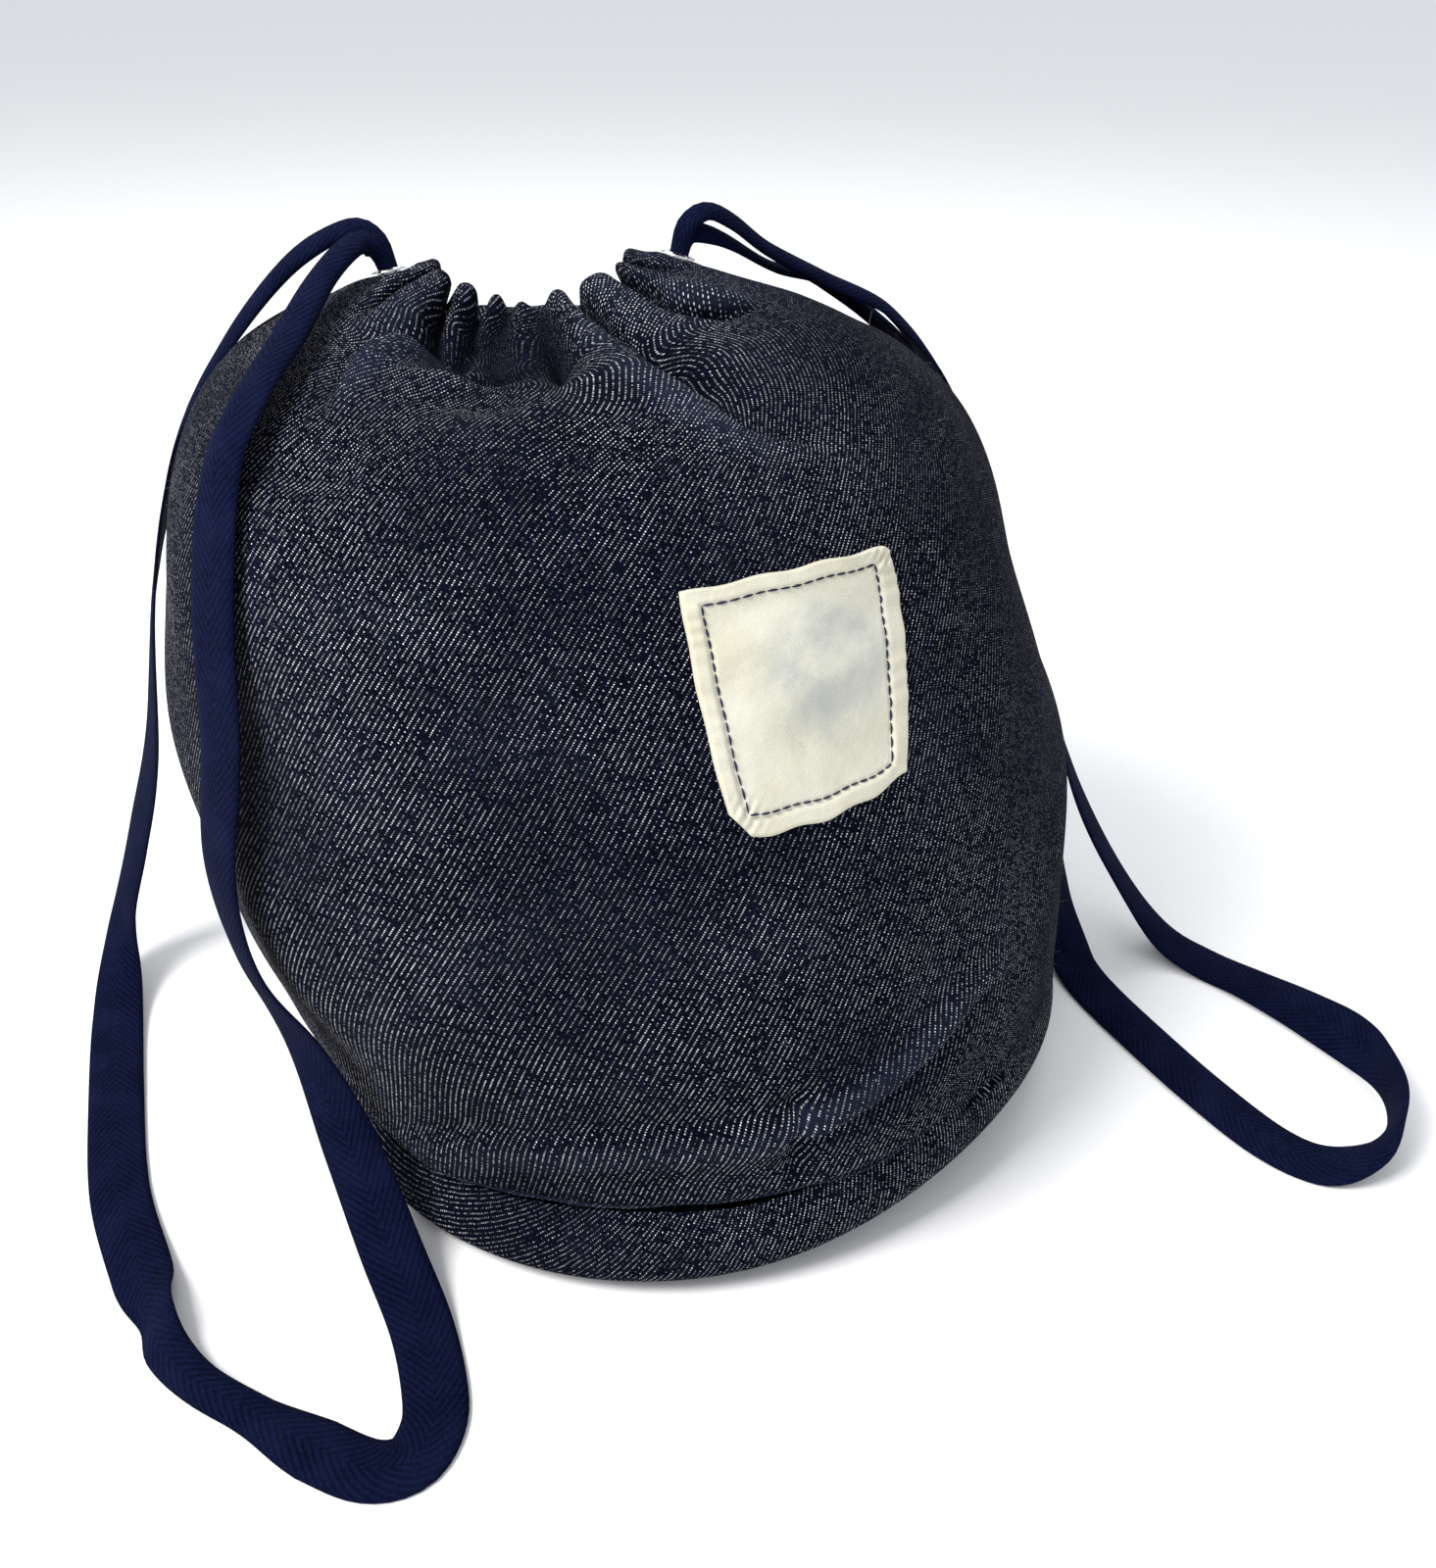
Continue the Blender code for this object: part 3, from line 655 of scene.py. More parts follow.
# %% Creases
# Kind, depth, half width, then points (angle, level, strength). A lap's high side is on the
# left as one walks along it outside the pouch with the wall underfoot.
CREASES = [
    ("lap", 5.0, 4.5, [(258, 8.25, .3), (253, 8.5, .9), (247, 8.55, 1), (240, 8.4, 1),
                       (235, 8.05, .9), (234, 7.5, .5), (236, 6.9, 0)]),
    ("groove", 5.5, 3.0, [(254, 8.25, .3), (258, 8.15, 1), (263, 8.1, 1), (267, 8.2, .6)]),
    ("groove", 2.6, 8.0, [(250, 7.3, .3), (256, 7.4, 1), (265, 7.4, 1), (272, 7.5, .4)]),
    ("groove", 3.5, 2.6, [(273.5, 8.75, .6), (274, 8.4, 1), (274, 8.1, .8), (273, 7.8, .1)]),
    ("lap", 5.5, 5.0, [(314, 6.4, 0), (307, 6.6, .35), (300, 6.85, .6), (296, 7.2, .85),
                       (292.5, 7.7, 1), (289, 8.2, 1), (286, 8.7, .8), (285, 9.2, .4)]),
    ("groove", 4.5, 5.0, [(289, 8.3, .3), (293, 7.95, 1), (298, 7.7, 1), (303, 7.5, .2)]),
    ("lap", 4.5, 3.2, [(311, 9.2, .3), (317, 9.0, 1), (323, 8.75, 1), (330, 8.5, .6),
                       (337, 8.3, 0)]),
    ("groove", 2.5, 9.0, [(224, 6.1, .2), (232, 6.1, 1), (240, 6.2, .8), (246, 6.4, 0)]),
    ("lap", 3.2, 7.0, [(292, 1.2, .1), (286, 1.25, .9), (276, 1.2, 1), (264, 1.12, 1),
                       (251, .95, 1), (240, .7, .8), (228, .5, 0)]),
    ("groove", 3.5, 3.0, [(288, 1.5, .2), (287, 1.3, 1), (286, 1.0, 1), (285.5, .7, .9),
                          (285, .5, .3)]),
    ("lap", 5.0, 4.5, [(284, 1.0, .1), (288, 1.1, 1), (293, 1.2, 1), (301, 1.35, 1),
                       (308, 1.5, .9), (316, 1.65, .6), (325, 1.6, .2)]),
    ("lap", 3.0, 6.0, [(225, .6, 0), (210, .55, .8), (195, .6, 1), (178, .5, .7), (165, .5, 0)]),
    ("lap", 3.0, 6.0, [(130, .7, 0), (112, .75, .9), (92, .6, 1), (74, .8, .6), (62, .7, 0)]),
    ("groove", 2.6, 8.0, [(30, 6.6, 0), (38, 6.0, .9), (48, 5.3, .6), (55, 4.6, 0)]),
    ("groove", 2.6, 9.0, [(112, 6.4, 0), (106, 5.8, .9), (98, 5.1, .6), (92, 4.5, 0)]),
    ("groove", 1.3, 1.9, [(90, .2, .6), (90, 2, 1), (90, 4, 1), (90, 6, 1), (90, 8, .8),
                          (90, 9, .2)]),      # the sewn join of the strip's two ends
    ("groove", 2.4, 8.0, [(160, 6.2, 0), (166, 5.5, .8), (175, 4.9, .7), (186, 4.5, 0)]),
]


def press_creases(point, normal):
    """Moves of every point of the wall for the creases, and how much each swells."""
    move = np.zeros_like(point)
    swell = np.zeros(point.shape[:-1])
    for kind, deep, half, line in CREASES:
        fine = smooth_curve(line, np.linspace(0, len(line) - 1, 12 * len(line)))
        track = smooth_wall(fine[:, 0], fine[:, 1])
        ahead = unit(np.gradient(track, axis=0))
        near_box = np.all((point > track.min(0) - 5 * half) & (point < track.max(0) + 5 * half),
                          axis=-1)
        spot, up = point[near_box], normal[near_box]
        gap = np.linalg.norm(spot[:, None] - track[None], axis=-1)
        nearest = gap.argmin(1)
        left = unit(np.cross(up, ahead[nearest]))
        side = np.sum((spot - track[nearest]) * left, -1)
        past = np.clip(gap.min(1) ** 2 - side ** 2, 0, None)
        strength = np.clip(fine[nearest, 2], 0, 1) * np.exp(-past / half ** 2)
        x = side / half
        if kind == "groove":
            rise = -deep * np.exp(-x ** 2)
            slide = -0.45 * side * np.exp(-x ** 2)
        else:
            fall = np.exp(-(np.clip(-x - 0.15, 0, None) / 1.5) ** 2)
            step = 1 / (1 + np.exp(9 * (x + 0.05)))
            rise = 0.62 * deep * np.exp(-((x - 0.75) / 0.85) ** 2) * (1 - step)
            rise = rise - 0.75 * deep * fall * step
            slide = -0.55 * deep * np.exp(-((x - 0.15) / 0.6) ** 2)
        move[near_box] += (up * rise[:, None] + left * slide[:, None]) * strength[:, None]
        swell[near_box] += np.clip(rise, 0, None) * strength
    return move, swell


EYELET_SEATS = [
    ((-67, 4, 214.6), (-0.19, 0.19, 0.96)), ((3, 4, 218.2), (0.27, 0.17, 0.95)),
]


def seat_eyelets(point):
    """Flatten the cloth under each eyelet's flange, and sink it inside the bore."""
    point = point.copy()
    for place, axis in EYELET_SEATS:
        axis = unit(np.array(axis, float))
        offset = point - np.array(place)
        height = offset @ axis
        reach = np.linalg.norm(offset - height[..., None] * axis, axis=-1)
        wanted = np.where(reach < 2.9, -5.0, -0.75)
        share = np.clip((8.5 - reach) / 3.0, 0, 1) * (np.abs(height) < 9)
        share = share * share * (3 - 2 * share)
        point += ((wanted - height) * share)[..., None] * axis
    return point


SHOULDER = (38, -14, 200)         # the filling pushes the right shoulder out here
SHOULDER_REACH = (26, 24, 20)


def undulate(point):
    """Slow unevenness of a filled bag, in mm."""
    waves = [((1.0, .3, .2), 95, 0.9, .4), ((-.4, 1.0, .5), 70, 0.7, 2.1),
             ((.2, -.5, 1.0), 58, 0.7, 4.0), ((.8, -.9, .7), 37, 0.35, 1.2),
             ((-.7, -.6, .9), 29, 0.28, 5.3)]
    total = 5.5 * np.exp(-np.sum(((point - SHOULDER) / SHOULDER_REACH) ** 2, -1))
    for direction, length, size, phase in waves:
        total += size * np.sin(point @ unit(np.array(direction)) * 2 * pi / length + phase)
    return total


def shape_wall(angle, level):
    """The finished wall: points in mm, outward directions, and how much each point stands out."""
    point, normal, _, up = wall_frame(angle, level)
    depth = valley_depth(angle, level)
    move, swell = press_creases(point, normal)
    seam = np.clip(1 - level / 0.32, 0, 1)
    tuck_in = 3.0 * seam ** 2 - 1.2 * np.exp(-((level - 0.34) / 0.16) ** 2)
    calm = np.clip((TOP - level) / 3, 0, 1)
    rise = undulate(point) * calm - depth - tuck_in
    mouth = np.clip(level - 9, 0, 1)
    drop = up * (-0.16 * depth * mouth)[..., None]
    # the back of the mouth and its shoulder hang lower and further forward than the front
    s = np.sin(np.radians(angle))
    top = np.clip((level - 8) / 2, 0, 1)
    drop[..., 2] += top * (2.2 * np.clip(-1.6 * s - 0.3, 0, 1) - 15.0 * np.clip(1.5 * s, 0, 1))
    low_back = np.clip((level - 5.5) / 1.5, 0, 1) * np.clip((10 - level) / 1.5, 0, 1)
    drop[..., 2] -= 7.0 * low_back * np.clip(3 * s - 1.8, 0, 1)
    drop[..., 1] -= top ** 1.5 * 6.0 * np.clip(1.5 * s, 0, 1)
    stand = swell + np.clip(1 - depth / 3, 0, 1) * np.clip((level - 6) / 3, 0, 1) * 2.2
    shaped = point + normal * rise[..., None] + move + drop
    return seat_eyelets(shaped), normal, stand


# %% Flat cloth coordinates
GRAIN_TURN = radians(-6)     # the cloth was cut a little off the straight


def cloth_uv(angle, level):
    """Flat cloth coordinates: mm round the pouch and mm up from the base seam, turned a little."""
    levels = np.linspace(0, TOP, 201)
    column = smooth_wall(np.full(201, 270.0), levels)
    run = np.concatenate([[0], np.cumsum(np.linalg.norm(np.diff(column, axis=0), axis=1))])
    # near the front the gathers' valleys swallow cloth; further round it keeps its own size
    away = angle - 270
    front = np.clip(away, -90, 90)
    kept = np.interp(level, [0, 4, 7, 9, 10], [700, 700, 600, 470, 400])
    u = (away * CIRCUMFERENCE + front * (kept - CIRCUMFERENCE)) / 360
    v = np.interp(level, levels, run)
    c, s = cos(GRAIN_TURN), sin(GRAIN_TURN)
    return np.stack([u * c - v * s, u * s + v * c], -1)


# %% [markdown]
# ## Denim
#
# Denim is a three-up, one-down twill: an indigo thread floats over three white ones and dips
# under the fourth, one step further along in each row. So a white speck shows wherever the
# thread number minus the row number is a multiple of four, and the specks line up in the
# slanting ribs that denim is known for. Counting threads with floor and remainder nodes draws
# exactly that, and thread thickness, fading on the folds and lint come on top as noise.


# %% Denim material
def denim_material(name, ends=0.40, picks=0.475, lean=1.0):
    """Indigo 3/1 twill with white weft specks."""
    n = Nodes(name)
    across, along, place = n.uv()
    wobble = n.mul(n.sub(n.noise(place, 0.35, 2), 0.5), 0.5)
    u = n.div(n.add(across, wobble), ends * lean)
    v = n.div(n.add(along, wobble), picks)
    i, j = n.floor(u), n.floor(v)
    fi = n.sub(n.fract(u), 0.5)
    fj = n.sub(n.fract(v), 0.5)
    float_number = n.math("FLOORED_MODULO", n.sub(i, j), 4.0)
    is_weft = n.math("LESS_THAN", float_number, 0.5)
    # a white speck is an oval, bright or dull at random, and whole threads vary too
    oval = n.add(n.mul(n.mul(fi, fi), 3.0), n.mul(n.mul(fj, fj), 6.0))
    grain = n.speckle(n.vector(i, j))
    speck = n.mul(is_weft, n.ramp(oval, 0.95, 0.38))
    speck = n.mul(speck, n.ramp(grain, 0.12, 1.0, 0.0, 1.0, smooth=False))
    slub = n.noise(n.vector(n.mul(u, 0.9), n.mul(v, 0.05)), 1.0, 2)
    weft_slub = n.noise(n.vector(n.mul(u, 0.04), n.mul(v, 0.8)), 1.0, 2)
    speck = n.mul(speck, n.ramp(weft_slub, 0.3, 0.65, 0.30, 1.0))
    # a number stored on each piece dims the white specks; on the wall it holds painted shade in the
    # gathers' valleys and on the right side
    speck = n.mul(speck, n.attribute("specks_and_painted_shade"))
    # slow fading follows the bag, not the flat cloth, so that it doesn't break at the join
    on_bag = n.tree.nodes.new("ShaderNodeTexCoord").outputs["Object"]
    patchy = n.noise(on_bag, 22.0, 3)
    speck = n.mul(speck, n.ramp(patchy, 0.35, 0.6, 0.45, 1.0))
    # a few neps: pale lint caught in the weave
    nep = n.ramp(n.noise(place, 0.9, 2, 0.4), 0.74, 0.80)
    blotch = n.noise(on_bag, 35.0, 4)
    fuzz = n.noise(place, 1.4, 3)
    fold = n.attribute("crest")
    warp = n.mix(n.ramp(slub, 0.25, 0.75), (0.0002, 0.0004, 0.0020), (0.0019, 0.0033, 0.0125))
    warp = n.mix(n.ramp(fuzz, 0.5, 0.85, 0.0, 0.4), warp, (0.007, 0.011, 0.026))
    fade = n.mul(n.ramp(fold, 0.2, 1.0), 0.30)
    fade = n.add(fade, n.ramp(blotch, 0.45, 0.75, 0.0, 0.12))
    warp = n.mix(fade, warp, (0.024, 0.032, 0.060))
    colour = n.mix(speck, warp, (0.96, 0.98, 1.0))
    colour = n.mix(n.mul(nep, 0.5), colour, (0.30, 0.32, 0.36))
    ridge = n.sub(0.25, n.mul(fi, fi))
    height = n.sub(n.mul(ridge, 2.4), n.mul(is_weft, 0.45))
    normal = n.bump(height, 0.00025, 0.8)
    normal = n.bump(n.noise(on_bag, 120.0, 3), 0.0009, 0.5, normal)
    return n.surface(colour, 1.0, normal)


DENIM_FINISH = denim_material("indigo_denim")
BASE_FINISH = denim_material("indigo_denim_base", lean=-1.0)

# %% [markdown]
# ## The wall
#
# One closed grid covers the wall, finer towards the mouth where the gathers are tight. Above
# the mouth's edge a few more rows turn over and run down inside, so the fold of the channel
# has thickness and the inside of the mouth is cloth too.


def build_wall():
    """The denim wall with its gathers and the turned-in mouth."""
    columns = 500
    levels = np.concatenate([np.linspace(0, 2.0, 50, endpoint=False),
                             np.linspace(2.0, 6.5, 44, endpoint=False),
                             np.linspace(6.5, TOP, 74)])
    cloth, level = np.meshgrid(np.linspace(90, 450, columns + 1), levels)
    angle = share_cloth(cloth, level)
    points, normal, stand = shape_wall(angle[:, :-1], level[:, :-1])
    # the mouth's edge rolls over and runs down inside
    edge, out = points[-1], normal[-1]
    roll = 1.7
    up = unit(points[-1] - points[-4])
    rows, marks = [], []
    for turn in np.radians([25, 55, 90, 125, 155, 180]):
        rows.append(edge + up * roll * sin(turn) - out * roll * (1 - cos(turn)))
        marks.append(TOP + turn * roll * 0.05)
    for k in (3, 7, 12, 18, 25):
        rows.append(points[-k] - normal[-k] * 2 * roll)
        marks.append(TOP + 0.27 + k * 0.045)
    points = np.concatenate([points, np.array(rows)])
    cloth = np.concatenate([cloth, np.repeat(cloth[-1:], len(rows), 0)])
    level = np.concatenate([level, np.repeat(np.array(marks)[:, None], columns + 1, 1)])
    uv = cloth_uv(cloth, np.minimum(level, TOP))
    uv[..., 1] += np.clip(level - TOP, 0, None) * 20
    wall = grid_mesh("denim_wall", points, uv, closed=True)
    stand = np.concatenate([stand, np.zeros((len(rows), columns))])
    point_attribute(wall, "crest", np.clip(stand / 3, 0, 1))
    round_side = (angle[:, :-1] + 90) % 360 - 180
    side = np.clip((np.abs(round_side - 75) - 22) / 18, 0, 1)
    specks_and_painted_shade = 0.25 + 0.75 * np.maximum(side, np.clip((level[:168, :-1] - 5) / 2, 0, 1))
    # painted shade: the right side, away from the key light, keeps fewer white specks and so looks
    # darker
    from_right = (angle[:, :-1] + 180) % 360 - 180
    specks_and_painted_shade = specks_and_painted_shade * (1 - 0.6 * np.exp(-(from_right / 38) ** 2))
    # painted shade: the deep valleys of the gathers lose most of their white specks and look darker
    specks_and_painted_shade = specks_and_painted_shade * np.clip(1.25 - valley_depth(angle[:, :-1], level[:168, :-1]) / 6, 0.15, 1)
    point_attribute(wall, "specks_and_painted_shade", np.concatenate([specks_and_painted_shade, np.full((len(rows), columns), .6)]))
    finish_with(wall, DENIM_FINISH)
    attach(wall, "root")
    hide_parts("body_panel")
    print("wall:", len(wall.data.polygons), "faces")
    return wall


build_wall()


# %% [markdown]
# ## The base
#
# The base is a separate round panel. It is flat where the pouch stands and turns up to meet
# the wall at the seam, so a strip of it shows under the seam.


def build_base():
    """The round base panel, turned up to the seam."""
    columns = 240
    angle = np.linspace(0, 360, columns + 1)
    edge = smooth_wall(angle, np.zeros_like(angle))
    centre = np.array(RINGS[0][1:3], float)
    profile = smooth_curve([(1.0, 1.0), (1.0, 0.75), (1.0, 0.45), (0.985, 0.18), (0.95, 0.02),
                            (0.88, 0.0), (0.6, 0.0), (0.3, 0.0), (0.02, 0.0)],
                           np.linspace(0, 8, 56))
    # the filling pushes the base out at the front left, and the right front stands off the floor
    bulge = 0.015 + 0.065 * np.exp(-((angle - 252) / 42) ** 2)
    lift = 11.0 * np.exp(-(((angle - 325 + 180) % 360 - 180) / 34) ** 2)
    rows = []
    for reach, rise in profile:
        out = reach + bulge * np.sin(pi * np.clip(1 - rise, 0, 1)) ** 0.8 * (reach > 0.9)
        out = out + bulge * 0.9 * (1 - np.clip(rise / 0.5, 0, 1)) * np.clip((reach - .3) / .6, 0, 1)
        x = centre[0] + (edge[:, 0] - centre[0]) * out
        y = centre[1] + (edge[:, 1] - centre[1]) * out
        floor_gap = 0.15 + lift * np.clip((reach - 0.62) / 0.33, 0, 1) ** 2
        z = floor_gap + np.clip(edge[:, 2] - floor_gap, 0, None) * np.clip(rise, 0, 1)
        rows.append(np.stack([x, y, z], -1))
    rows = np.array(rows)
    # flat cloth: as far from the middle as the cloth runs, in the same direction
    step = np.linalg.norm(np.diff(rows[::-1], axis=0), axis=-1)
    run = np.concatenate([np.zeros((1, columns + 1)), np.cumsum(step, axis=0)])[::-1]
    way = unit(edge[:, :2] - centre[:2])
    uv = way[None] * run[..., None] + 200
    base = grid_mesh("denim_base", rows[:, :-1][:, ::-1], uv[:, ::-1], closed=True)
    point_attribute(base, "crest", np.zeros(len(base.data.vertices)))
    point_attribute(base, "specks_and_painted_shade", np.full(len(base.data.vertices), 0.9))
    finish_with(base, BASE_FINISH)
    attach(base, "root")
    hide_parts("base_panel")


build_base()

# %% [markdown]
# ## The seam's edge
#
# Where wall and base meet, both cut edges are turned and sewn, and the cloth's raw edge shows
# as a thin lumpy welt with loose threads. A small ring of points swept round the seam makes
# it, with its thickness varied by a few sines so that no two centimetres look the same.


# %% Seam welt
def build_welt(name, level, out, thick, finish_level):
    """A thin roll of cloth edge that runs round the wall at one level."""
    angle = np.linspace(0, 360, 361)
    points, normal, _ = shape_wall(angle, np.full(361, float(level)))
    points, normal = points[:-1], normal[:-1]
    run = np.radians(angle[:-1])
    lump = 1 + 0.16 * np.sin(17 * run + 1) + 0.13 * np.sin(41 * run) + 0.08 * np.sin(97 * run + 2)
    drop = 0.5 * np.sin(9 * run + 2) + 0.3 * np.sin(23 * run)
    forward = unit(np.roll(points, -1, 0) - np.roll(points, 1, 0))
    up = unit(np.cross(normal, forward))
    rows, uv = [], []
    for turn in np.linspace(0, 2 * pi, 13):
        across = np.cos(turn) * thick[0] * lump
        rise = np.sin(turn) * thick[1] * lump
        rows.append(points + normal * (out + across)[:, None] + up * (rise + drop)[:, None])
        uv.append(np.stack([angle / 360 * CIRCUMFERENCE,
                            np.full(361, turn * 1.2 + finish_level)], -1))
    welt = grid_mesh(name, np.array(rows)[::-1], np.array(uv)[::-1], closed=True)
    point_attribute(welt, "crest", np.full(len(welt.data.vertices), 0.9))
    point_attribute(welt, "specks_and_painted_shade", np.full(len(welt.data.vertices), 0.5))
    finish_with(welt, DENIM_FINISH)
    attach(welt, "root")


build_welt("seam_edge_wall", 0.02, -0.2, (1.3, 1.0), 5)
build_welt("seam_edge_turned", 0.20, 0.15, (0.8, 0.55), 40)


# %% [markdown]
# ## The patch
#
# The patch is a square of cream cotton with its edges turned under, so its border is twice as
# thick as its middle and puckers a little where two corners were folded over. It is a grid
# whose four corners are placed on the wall; every point then stands a fraction of a
# millimetre off the finished wall, more in the border and less along the stitching.


# %% Patch material
def cream_cotton():
    """Cream cotton twill with a grey smudge and yellowed creases."""
    n = Nodes("cream_cotton")
    across, along, place = n.uv()
    rib = n.wave(n.div(n.add(across, along), 0.62))
    pick = n.wave(n.div(along, 0.34))
    weave = n.add(n.mul(rib, 0.65), n.mul(pick, 0.35))
    stain = n.noise(place, 0.045, 4, 0.6)
    smudge_x = n.sub(across, 4.0)
    smudge_y = n.sub(along, 1.0)
    reach = n.add(n.mul(smudge_x, smudge_x), n.mul(n.mul(smudge_y, smudge_y), 0.7))
    smudge = n.mul(n.ramp(reach, 330.0, 20.0), n.ramp(n.noise(place, 0.09, 5), .3, .7))
    colour = n.mix(n.ramp(stain, 0.35, 0.7), (0.70, 0.69, 0.58), (0.62, 0.60, 0.46))
    colour = n.mix(n.mul(smudge, 0.75), colour, (0.42, 0.45, 0.46))
    colour = n.mix(n.ramp(weave, 0.0, 1.0, 0.16, 0.0), colour, (0.34, 0.34, 0.30))
    specks = n.ramp(n.noise(place, 3.2, 2), 0.62, 0.78, 0.0, 0.35)
    colour = n.mix(specks, colour, (0.42, 0.42, 0.38))
    fold = n.attribute("crest")
    colour = n.mix(n.mul(fold, 0.45), colour, (0.52, 0.48, 0.36))
    normal = n.bump(weave, 0.00012, 0.7)
    normal = n.bump(n.noise(place, 0.16, 3), 0.0007, 0.6, normal)
    return n.surface(colour, 0.95, normal)


# %% Patch shape
STITCH_FRAME = (0.078, 0.885, 0.072, 0.915)     # left, right, bottom and top of the stitching
PATCH_SIDES = (48.0, 51.0)


def patch_place(s, t):
    """Angle and level on the wall for a place in the patch, from 0 to 1 each way."""
    over = np.clip(s + t - 1.955, 0, None) / 2
    under = np.clip(0.085 - s - t, 0, None) / 2
    s, t = s - over + under, t - over + under
    angle = (1 - t) * ((1 - s) * 286.6 + s * 309.4) + t * ((1 - s) * 284.8 + s * 315.6)
    angle = angle + 1.5 * s * 4 * t * (1 - t)
    level = (1 - s) * (3.40 + t * 1.82) + s * (3.53 + t * 1.74)
    level = level + 0.055 * 4 * s * (1 - s) * (2 * t - 1)
    wave = np.sin(23 * t + 2) * s ** 6 * 0.07 + np.sin(19 * t) * (1 - s) ** 6 * 0.07
    return angle + wave, level + 0.012 * np.sin(21 * s + 1) * (t ** 6 + (1 - t) ** 6)


def patch_surface(s, t, lift):
    """A point over the finished wall at a place in the patch."""
    angle, level = patch_place(s, t)
    points, normal, _ = shape_wall(angle, level)
    return points + normal * np.asarray(lift)[..., None]


def patch_lift(s, t):
    """How far the patch's face stands off the wall, in mm, and how creased it is there."""
    inset = np.minimum(np.minimum(s, 1 - s) * PATCH_SIDES[0], np.minimum(t, 1 - t) * PATCH_SIDES[1])
    left, right, bottom, top = STITCH_FRAME
    inside = np.minimum(np.minimum(s - left, right - s) * PATCH_SIDES[0],
                        np.minimum(t - bottom, top - t) * PATCH_SIDES[1])
    border = 1 / (1 + np.exp((inside - 0.2) * 3.0))
    lift = 0.85 + 0.55 * border - 0.50 * np.exp(-(inside / 0.55) ** 2)
    round_edge = np.sqrt(np.clip(1 - np.clip(1 - inset / 0.9, 0, 1) ** 2, 0, 1))
    lift = -0.3 + (lift + 0.3) * round_edge
    x, y = s * PATCH_SIDES[0], t * PATCH_SIDES[1]
    creases = 0.16 * np.sin(1.5 * y + 2.2 * np.sin(0.31 * y)) * (s < .12) * border
    creases = creases + 0.18 * np.sin(1.1 * y + 2.6 * np.sin(0.27 * y + 1)) * (s > .88) * border
    creases = creases + 0.14 * np.sin(0.8 * x + 0.5 * y) * (t > .88) * border
    soft = 0.30 * np.sin(0.21 * y + 0.05 * x + 0.7) + 0.18 * np.sin(0.43 * y - 0.11 * x)
    corner = np.exp(-(((s - 0.93) * 48) ** 2 + ((t - 0.93) * 51) ** 2) / 9)
    corner = corner + np.exp(-(((s - 0.09) * 48) ** 2 + ((t - 0.08) * 51) ** 2) / 9)
    pucker = corner * 0.35 * np.sin(2.4 * (x - y))
    return lift + (creases + pucker) * round_edge + soft * (1 - border), border


def build_patch():
    """The cream patch on the wall."""
    s, t = np.meshgrid(edge_steps(100), edge_steps(104))
    lift, border = patch_lift(s, t)
    points = patch_surface(s, t, lift)
    uv = np.stack([(s - 0.5) * PATCH_SIDES[0], (t - 0.5) * PATCH_SIDES[1]], -1)
    patch = grid_mesh("cream_patch", points, uv)
    inset = np.minimum(np.minimum(s, 1 - s), np.minimum(t, 1 - t))
    crest = np.exp(-(inset * 48 / 0.8) ** 2) * 0.8 + border * 0.35
    point_attribute(patch, "crest", crest)
    finish_with(patch, cream_cotton())
    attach(patch, "root")
    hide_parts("patch")
    return patch


def edge_steps(count):
    """Steps from 0 to 1 that are closer together near both ends."""
    even = np.linspace(0, 1, count)
    return even - 0.11 * np.sin(2 * pi * even)


build_patch()

# %% [markdown]
# ## The stitching
#
# Machine stitches show on top as short beads of thread that dive into the cloth at both ends.
# Each is a small capsule of points, laid along the line, so the gaps between them are real.


# %% Stitches
def thread_material():
    """Twisted navy thread."""
    n = Nodes("navy_thread")
    across, along, _ = n.uv()
    twist = n.wave(n.add(n.mul(along, 2.6), across))
    colour = n.mix(twist, (0.008, 0.010, 0.028), (0.035, 0.042, 0.085))
    return n.surface(colour, 0.8, n.bump(twist, 0.00008, 0.8))


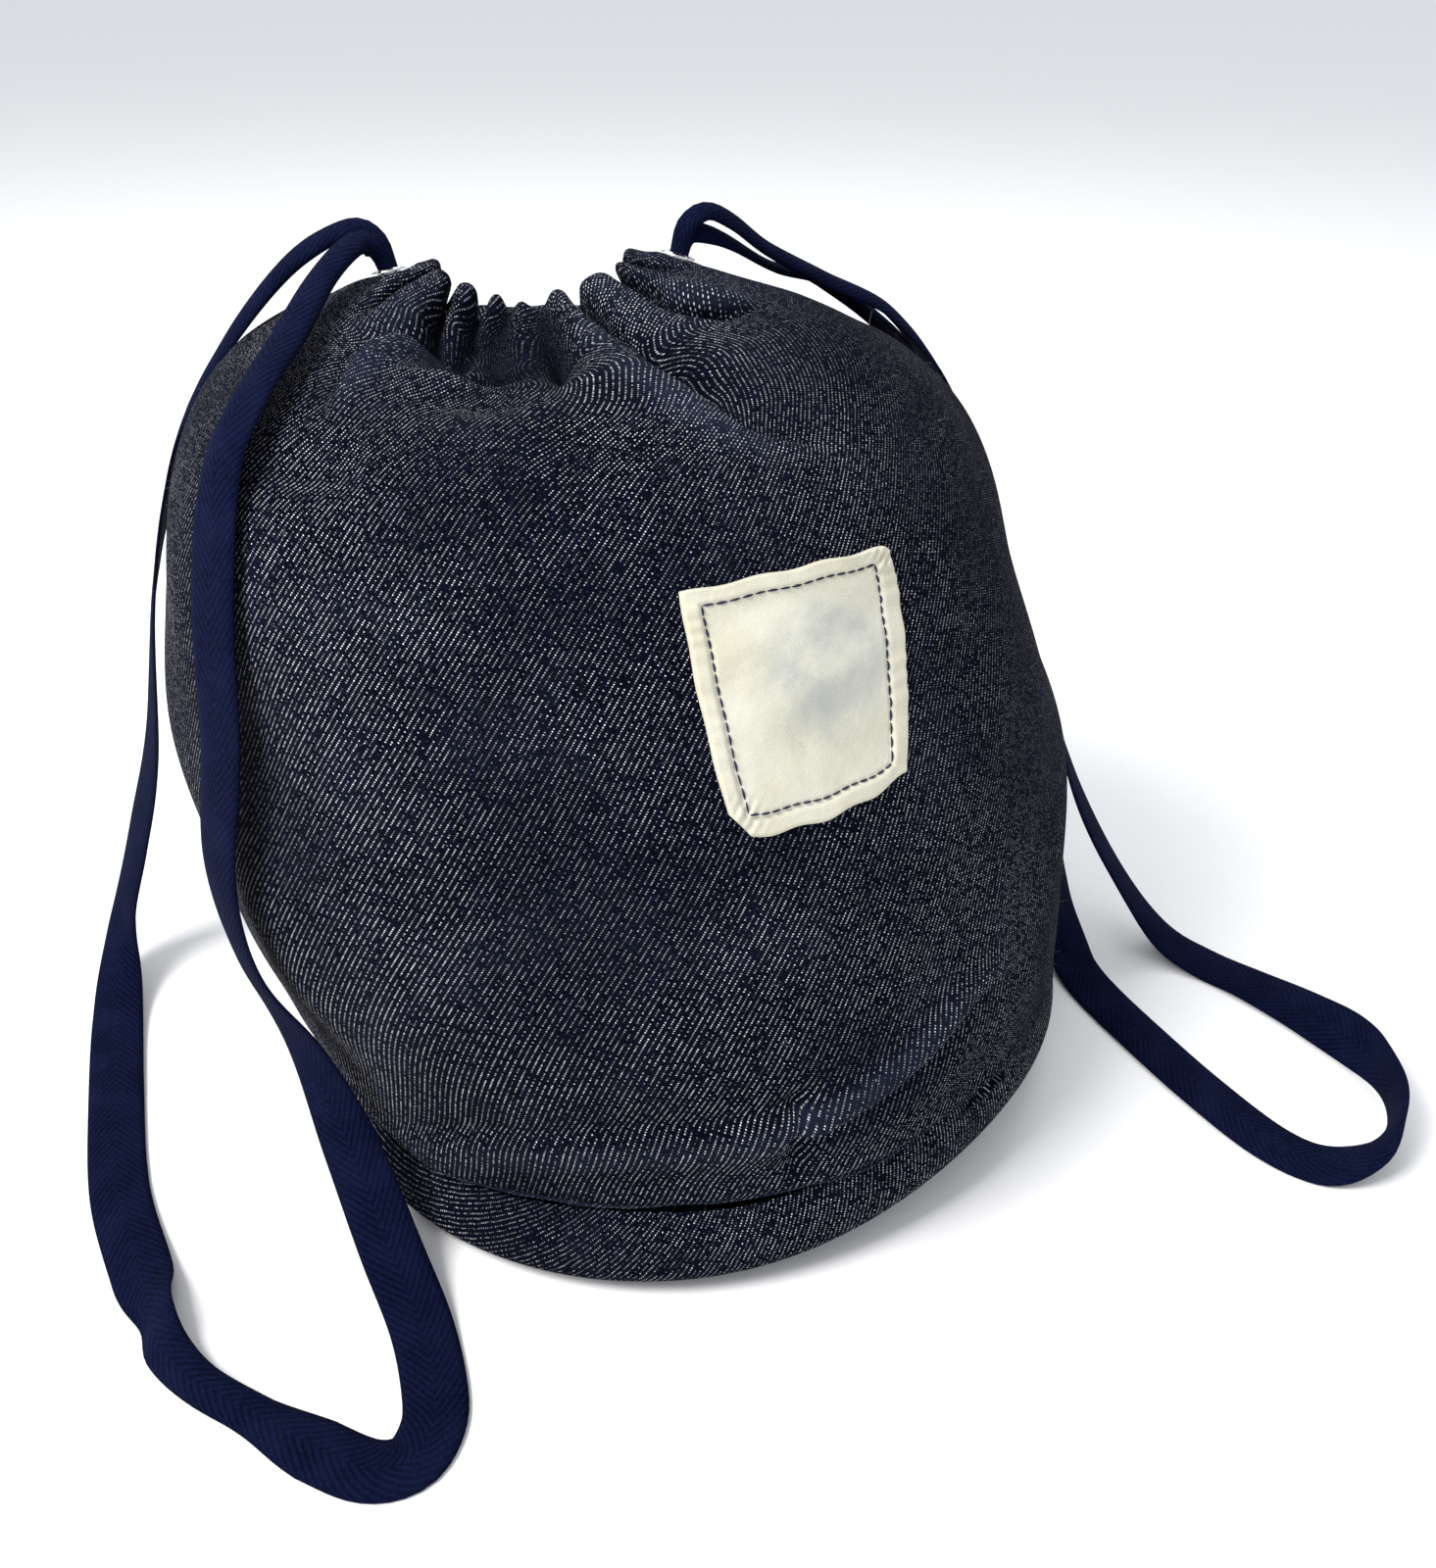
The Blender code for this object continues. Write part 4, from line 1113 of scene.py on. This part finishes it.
def build_stitches():
    """Separate stitches in a closed line round the patch."""
    left, right, bottom, top = STITCH_FRAME
    corners = [(left + .012, bottom + .01), (right, bottom), (right, top), (left, top)]
    faces, points, uv = [], [], []
    sides, rings = 7, 7
    for start, end in zip(corners, corners[1:] + corners[:1]):
        span = sqrt(((end[0] - start[0]) * PATCH_SIDES[0]) ** 2
                    + ((end[1] - start[1]) * PATCH_SIDES[1]) ** 2)
        count = int(round(span / 2.5))
        for k in range(count):
            f = (k + np.linspace(0.06, 0.94, rings)) / count
            s = start[0] + (end[0] - start[0]) * f
            t = start[1] + (end[1] - start[1]) * f
            arch = np.sin(np.linspace(0, pi, rings))
            lift, _ = patch_lift(s, t)
            middle = patch_surface(s, t, lift + 0.05 + 0.26 * arch)
            above = patch_surface(s, t, lift + 1.0) - patch_surface(s, t, lift)
            forward = unit(np.gradient(middle, axis=0))
            side = unit(np.cross(forward, above))
            up = np.cross(side, forward)
            radius = 0.24 * np.sqrt(np.clip(arch, 0.06, 1)) * (1 + 0.1 * np.sin(3 * k))
            first = len(points) * sides
            for ring in range(rings):
                turn = np.linspace(0, 2 * pi, sides, endpoint=False)
                points.append(middle[ring] + radius[ring] * (
                    np.cos(turn)[:, None] * side[ring] + np.sin(turn)[:, None] * up[ring]))
            for ring in range(rings - 1):
                for j in range(sides):
                    a, b = first + ring * sides + j, first + ring * sides + (j + 1) % sides
                    faces.append((a, b, b + sides, a + sides))
                    uv += [(j / sides, f[ring] * span), ((j + 1) / sides, f[ring] * span),
                           ((j + 1) / sides, f[ring + 1] * span), (j / sides, f[ring + 1] * span)]
    mesh = bpy.data.meshes.new("patch_stitches")
    mesh.from_pydata((np.concatenate(points) * MM).tolist(), [], faces)
    layer = mesh.uv_layers.new(name="cloth")
    layer.data.foreach_set("uv", np.array(uv, np.float32).reshape(-1))
    mesh.polygons.foreach_set("use_smooth", [True] * len(faces))
    stitches = show("patch_stitches", mesh)
    finish_with(stitches, thread_material())
    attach(stitches, "root")
    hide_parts("patch_stitching")
    print("stitching:", len(points) // rings, "stitches")


build_stitches()

# %% [markdown]
# ## Loose fibres
#
# Washed denim and cotton tape are fuzzy: short fibres stand off every edge. They are tiny
# tapering ribbons, seeded so that each run gives the same ones, scattered where cloth rubs.


# %% Fibres
def fibre_material():
    """Pale blue-grey lint."""
    n = Nodes("lint")
    place = n.tree.nodes.new("ShaderNodeTexCoord").outputs["Object"]
    colour = n.mix(n.noise(place, 160.0), (0.05, 0.06, 0.10), (0.36, 0.38, 0.42))
    return n.surface(colour, 1.0)


def build_fibres(name, roots, outward, long, wide):
    """Curled hairs from root points: arrays in mm."""
    points, faces = [], []
    for root, out in zip(roots, outward):
        length = long * RNG.uniform(0.3, 1.0)
        heading = unit(out * RNG.uniform(0.3, 1.0) + RNG.normal(0, 0.75, 3))
        curl = RNG.normal(0, 0.9, 3)
        side = unit(np.cross(heading, RNG.normal(0, 1, 3)))
        first = len(points)
        for k in range(5):
            f = k / 4
            spot = root + heading * length * f + curl * length * 0.35 * f * f
            half = wide * (1 - 0.7 * f) / 2
            points += [spot - side * half, spot + side * half]
            if k:
                a = first + 2 * k - 2
                faces.append((a, a + 1, a + 3, a + 2))
    mesh = bpy.data.meshes.new(name)
    points = np.maximum(np.array(points), [-1e3, -1e3, 0.05])
    mesh.from_pydata((points * MM).tolist(), [], faces)
    hairs = show(name, mesh)
    finish_with(hairs, LINT)
    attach(hairs, "root")


LINT = fibre_material()
angle = np.concatenate([RNG.uniform(0, 360, 1500), RNG.uniform(0, 360, 260),
                        RNG.uniform(0, 360, 420)])
level = np.concatenate([RNG.uniform(0.2, 9.8, 1500), RNG.uniform(0.0, 0.25, 260),
                        RNG.uniform(7.8, 10, 420)])
roots, outward, stand = shape_wall(angle, level)
build_fibres("wall_lint", roots, outward, 2.6, 0.07)

# %% Eyelets get their metal
def nickel_material():
    """Bright plated metal with fine wear."""
    n = Nodes("nickel")
    place = n.tree.nodes.new("ShaderNodeTexCoord").outputs["Object"]
    wear = n.noise(place, 900.0, 3)
    colour = n.mix(n.ramp(wear, 0.4, 0.7), (0.62, 0.62, 0.60), (0.80, 0.79, 0.77))
    rough = n.ramp(wear, 0.3, 0.8, 0.18, 0.36)
    return n.surface(colour, rough, n.bump(wear, 0.00002, 0.4), metallic=1.0)


NICKEL = nickel_material()
for node in ("left_eyelet", "left_eyelet_washer", "right_eyelet", "right_eyelet_washer"):
    for slot in bpy.data.objects[node].material_slots:
        slot.material = NICKEL
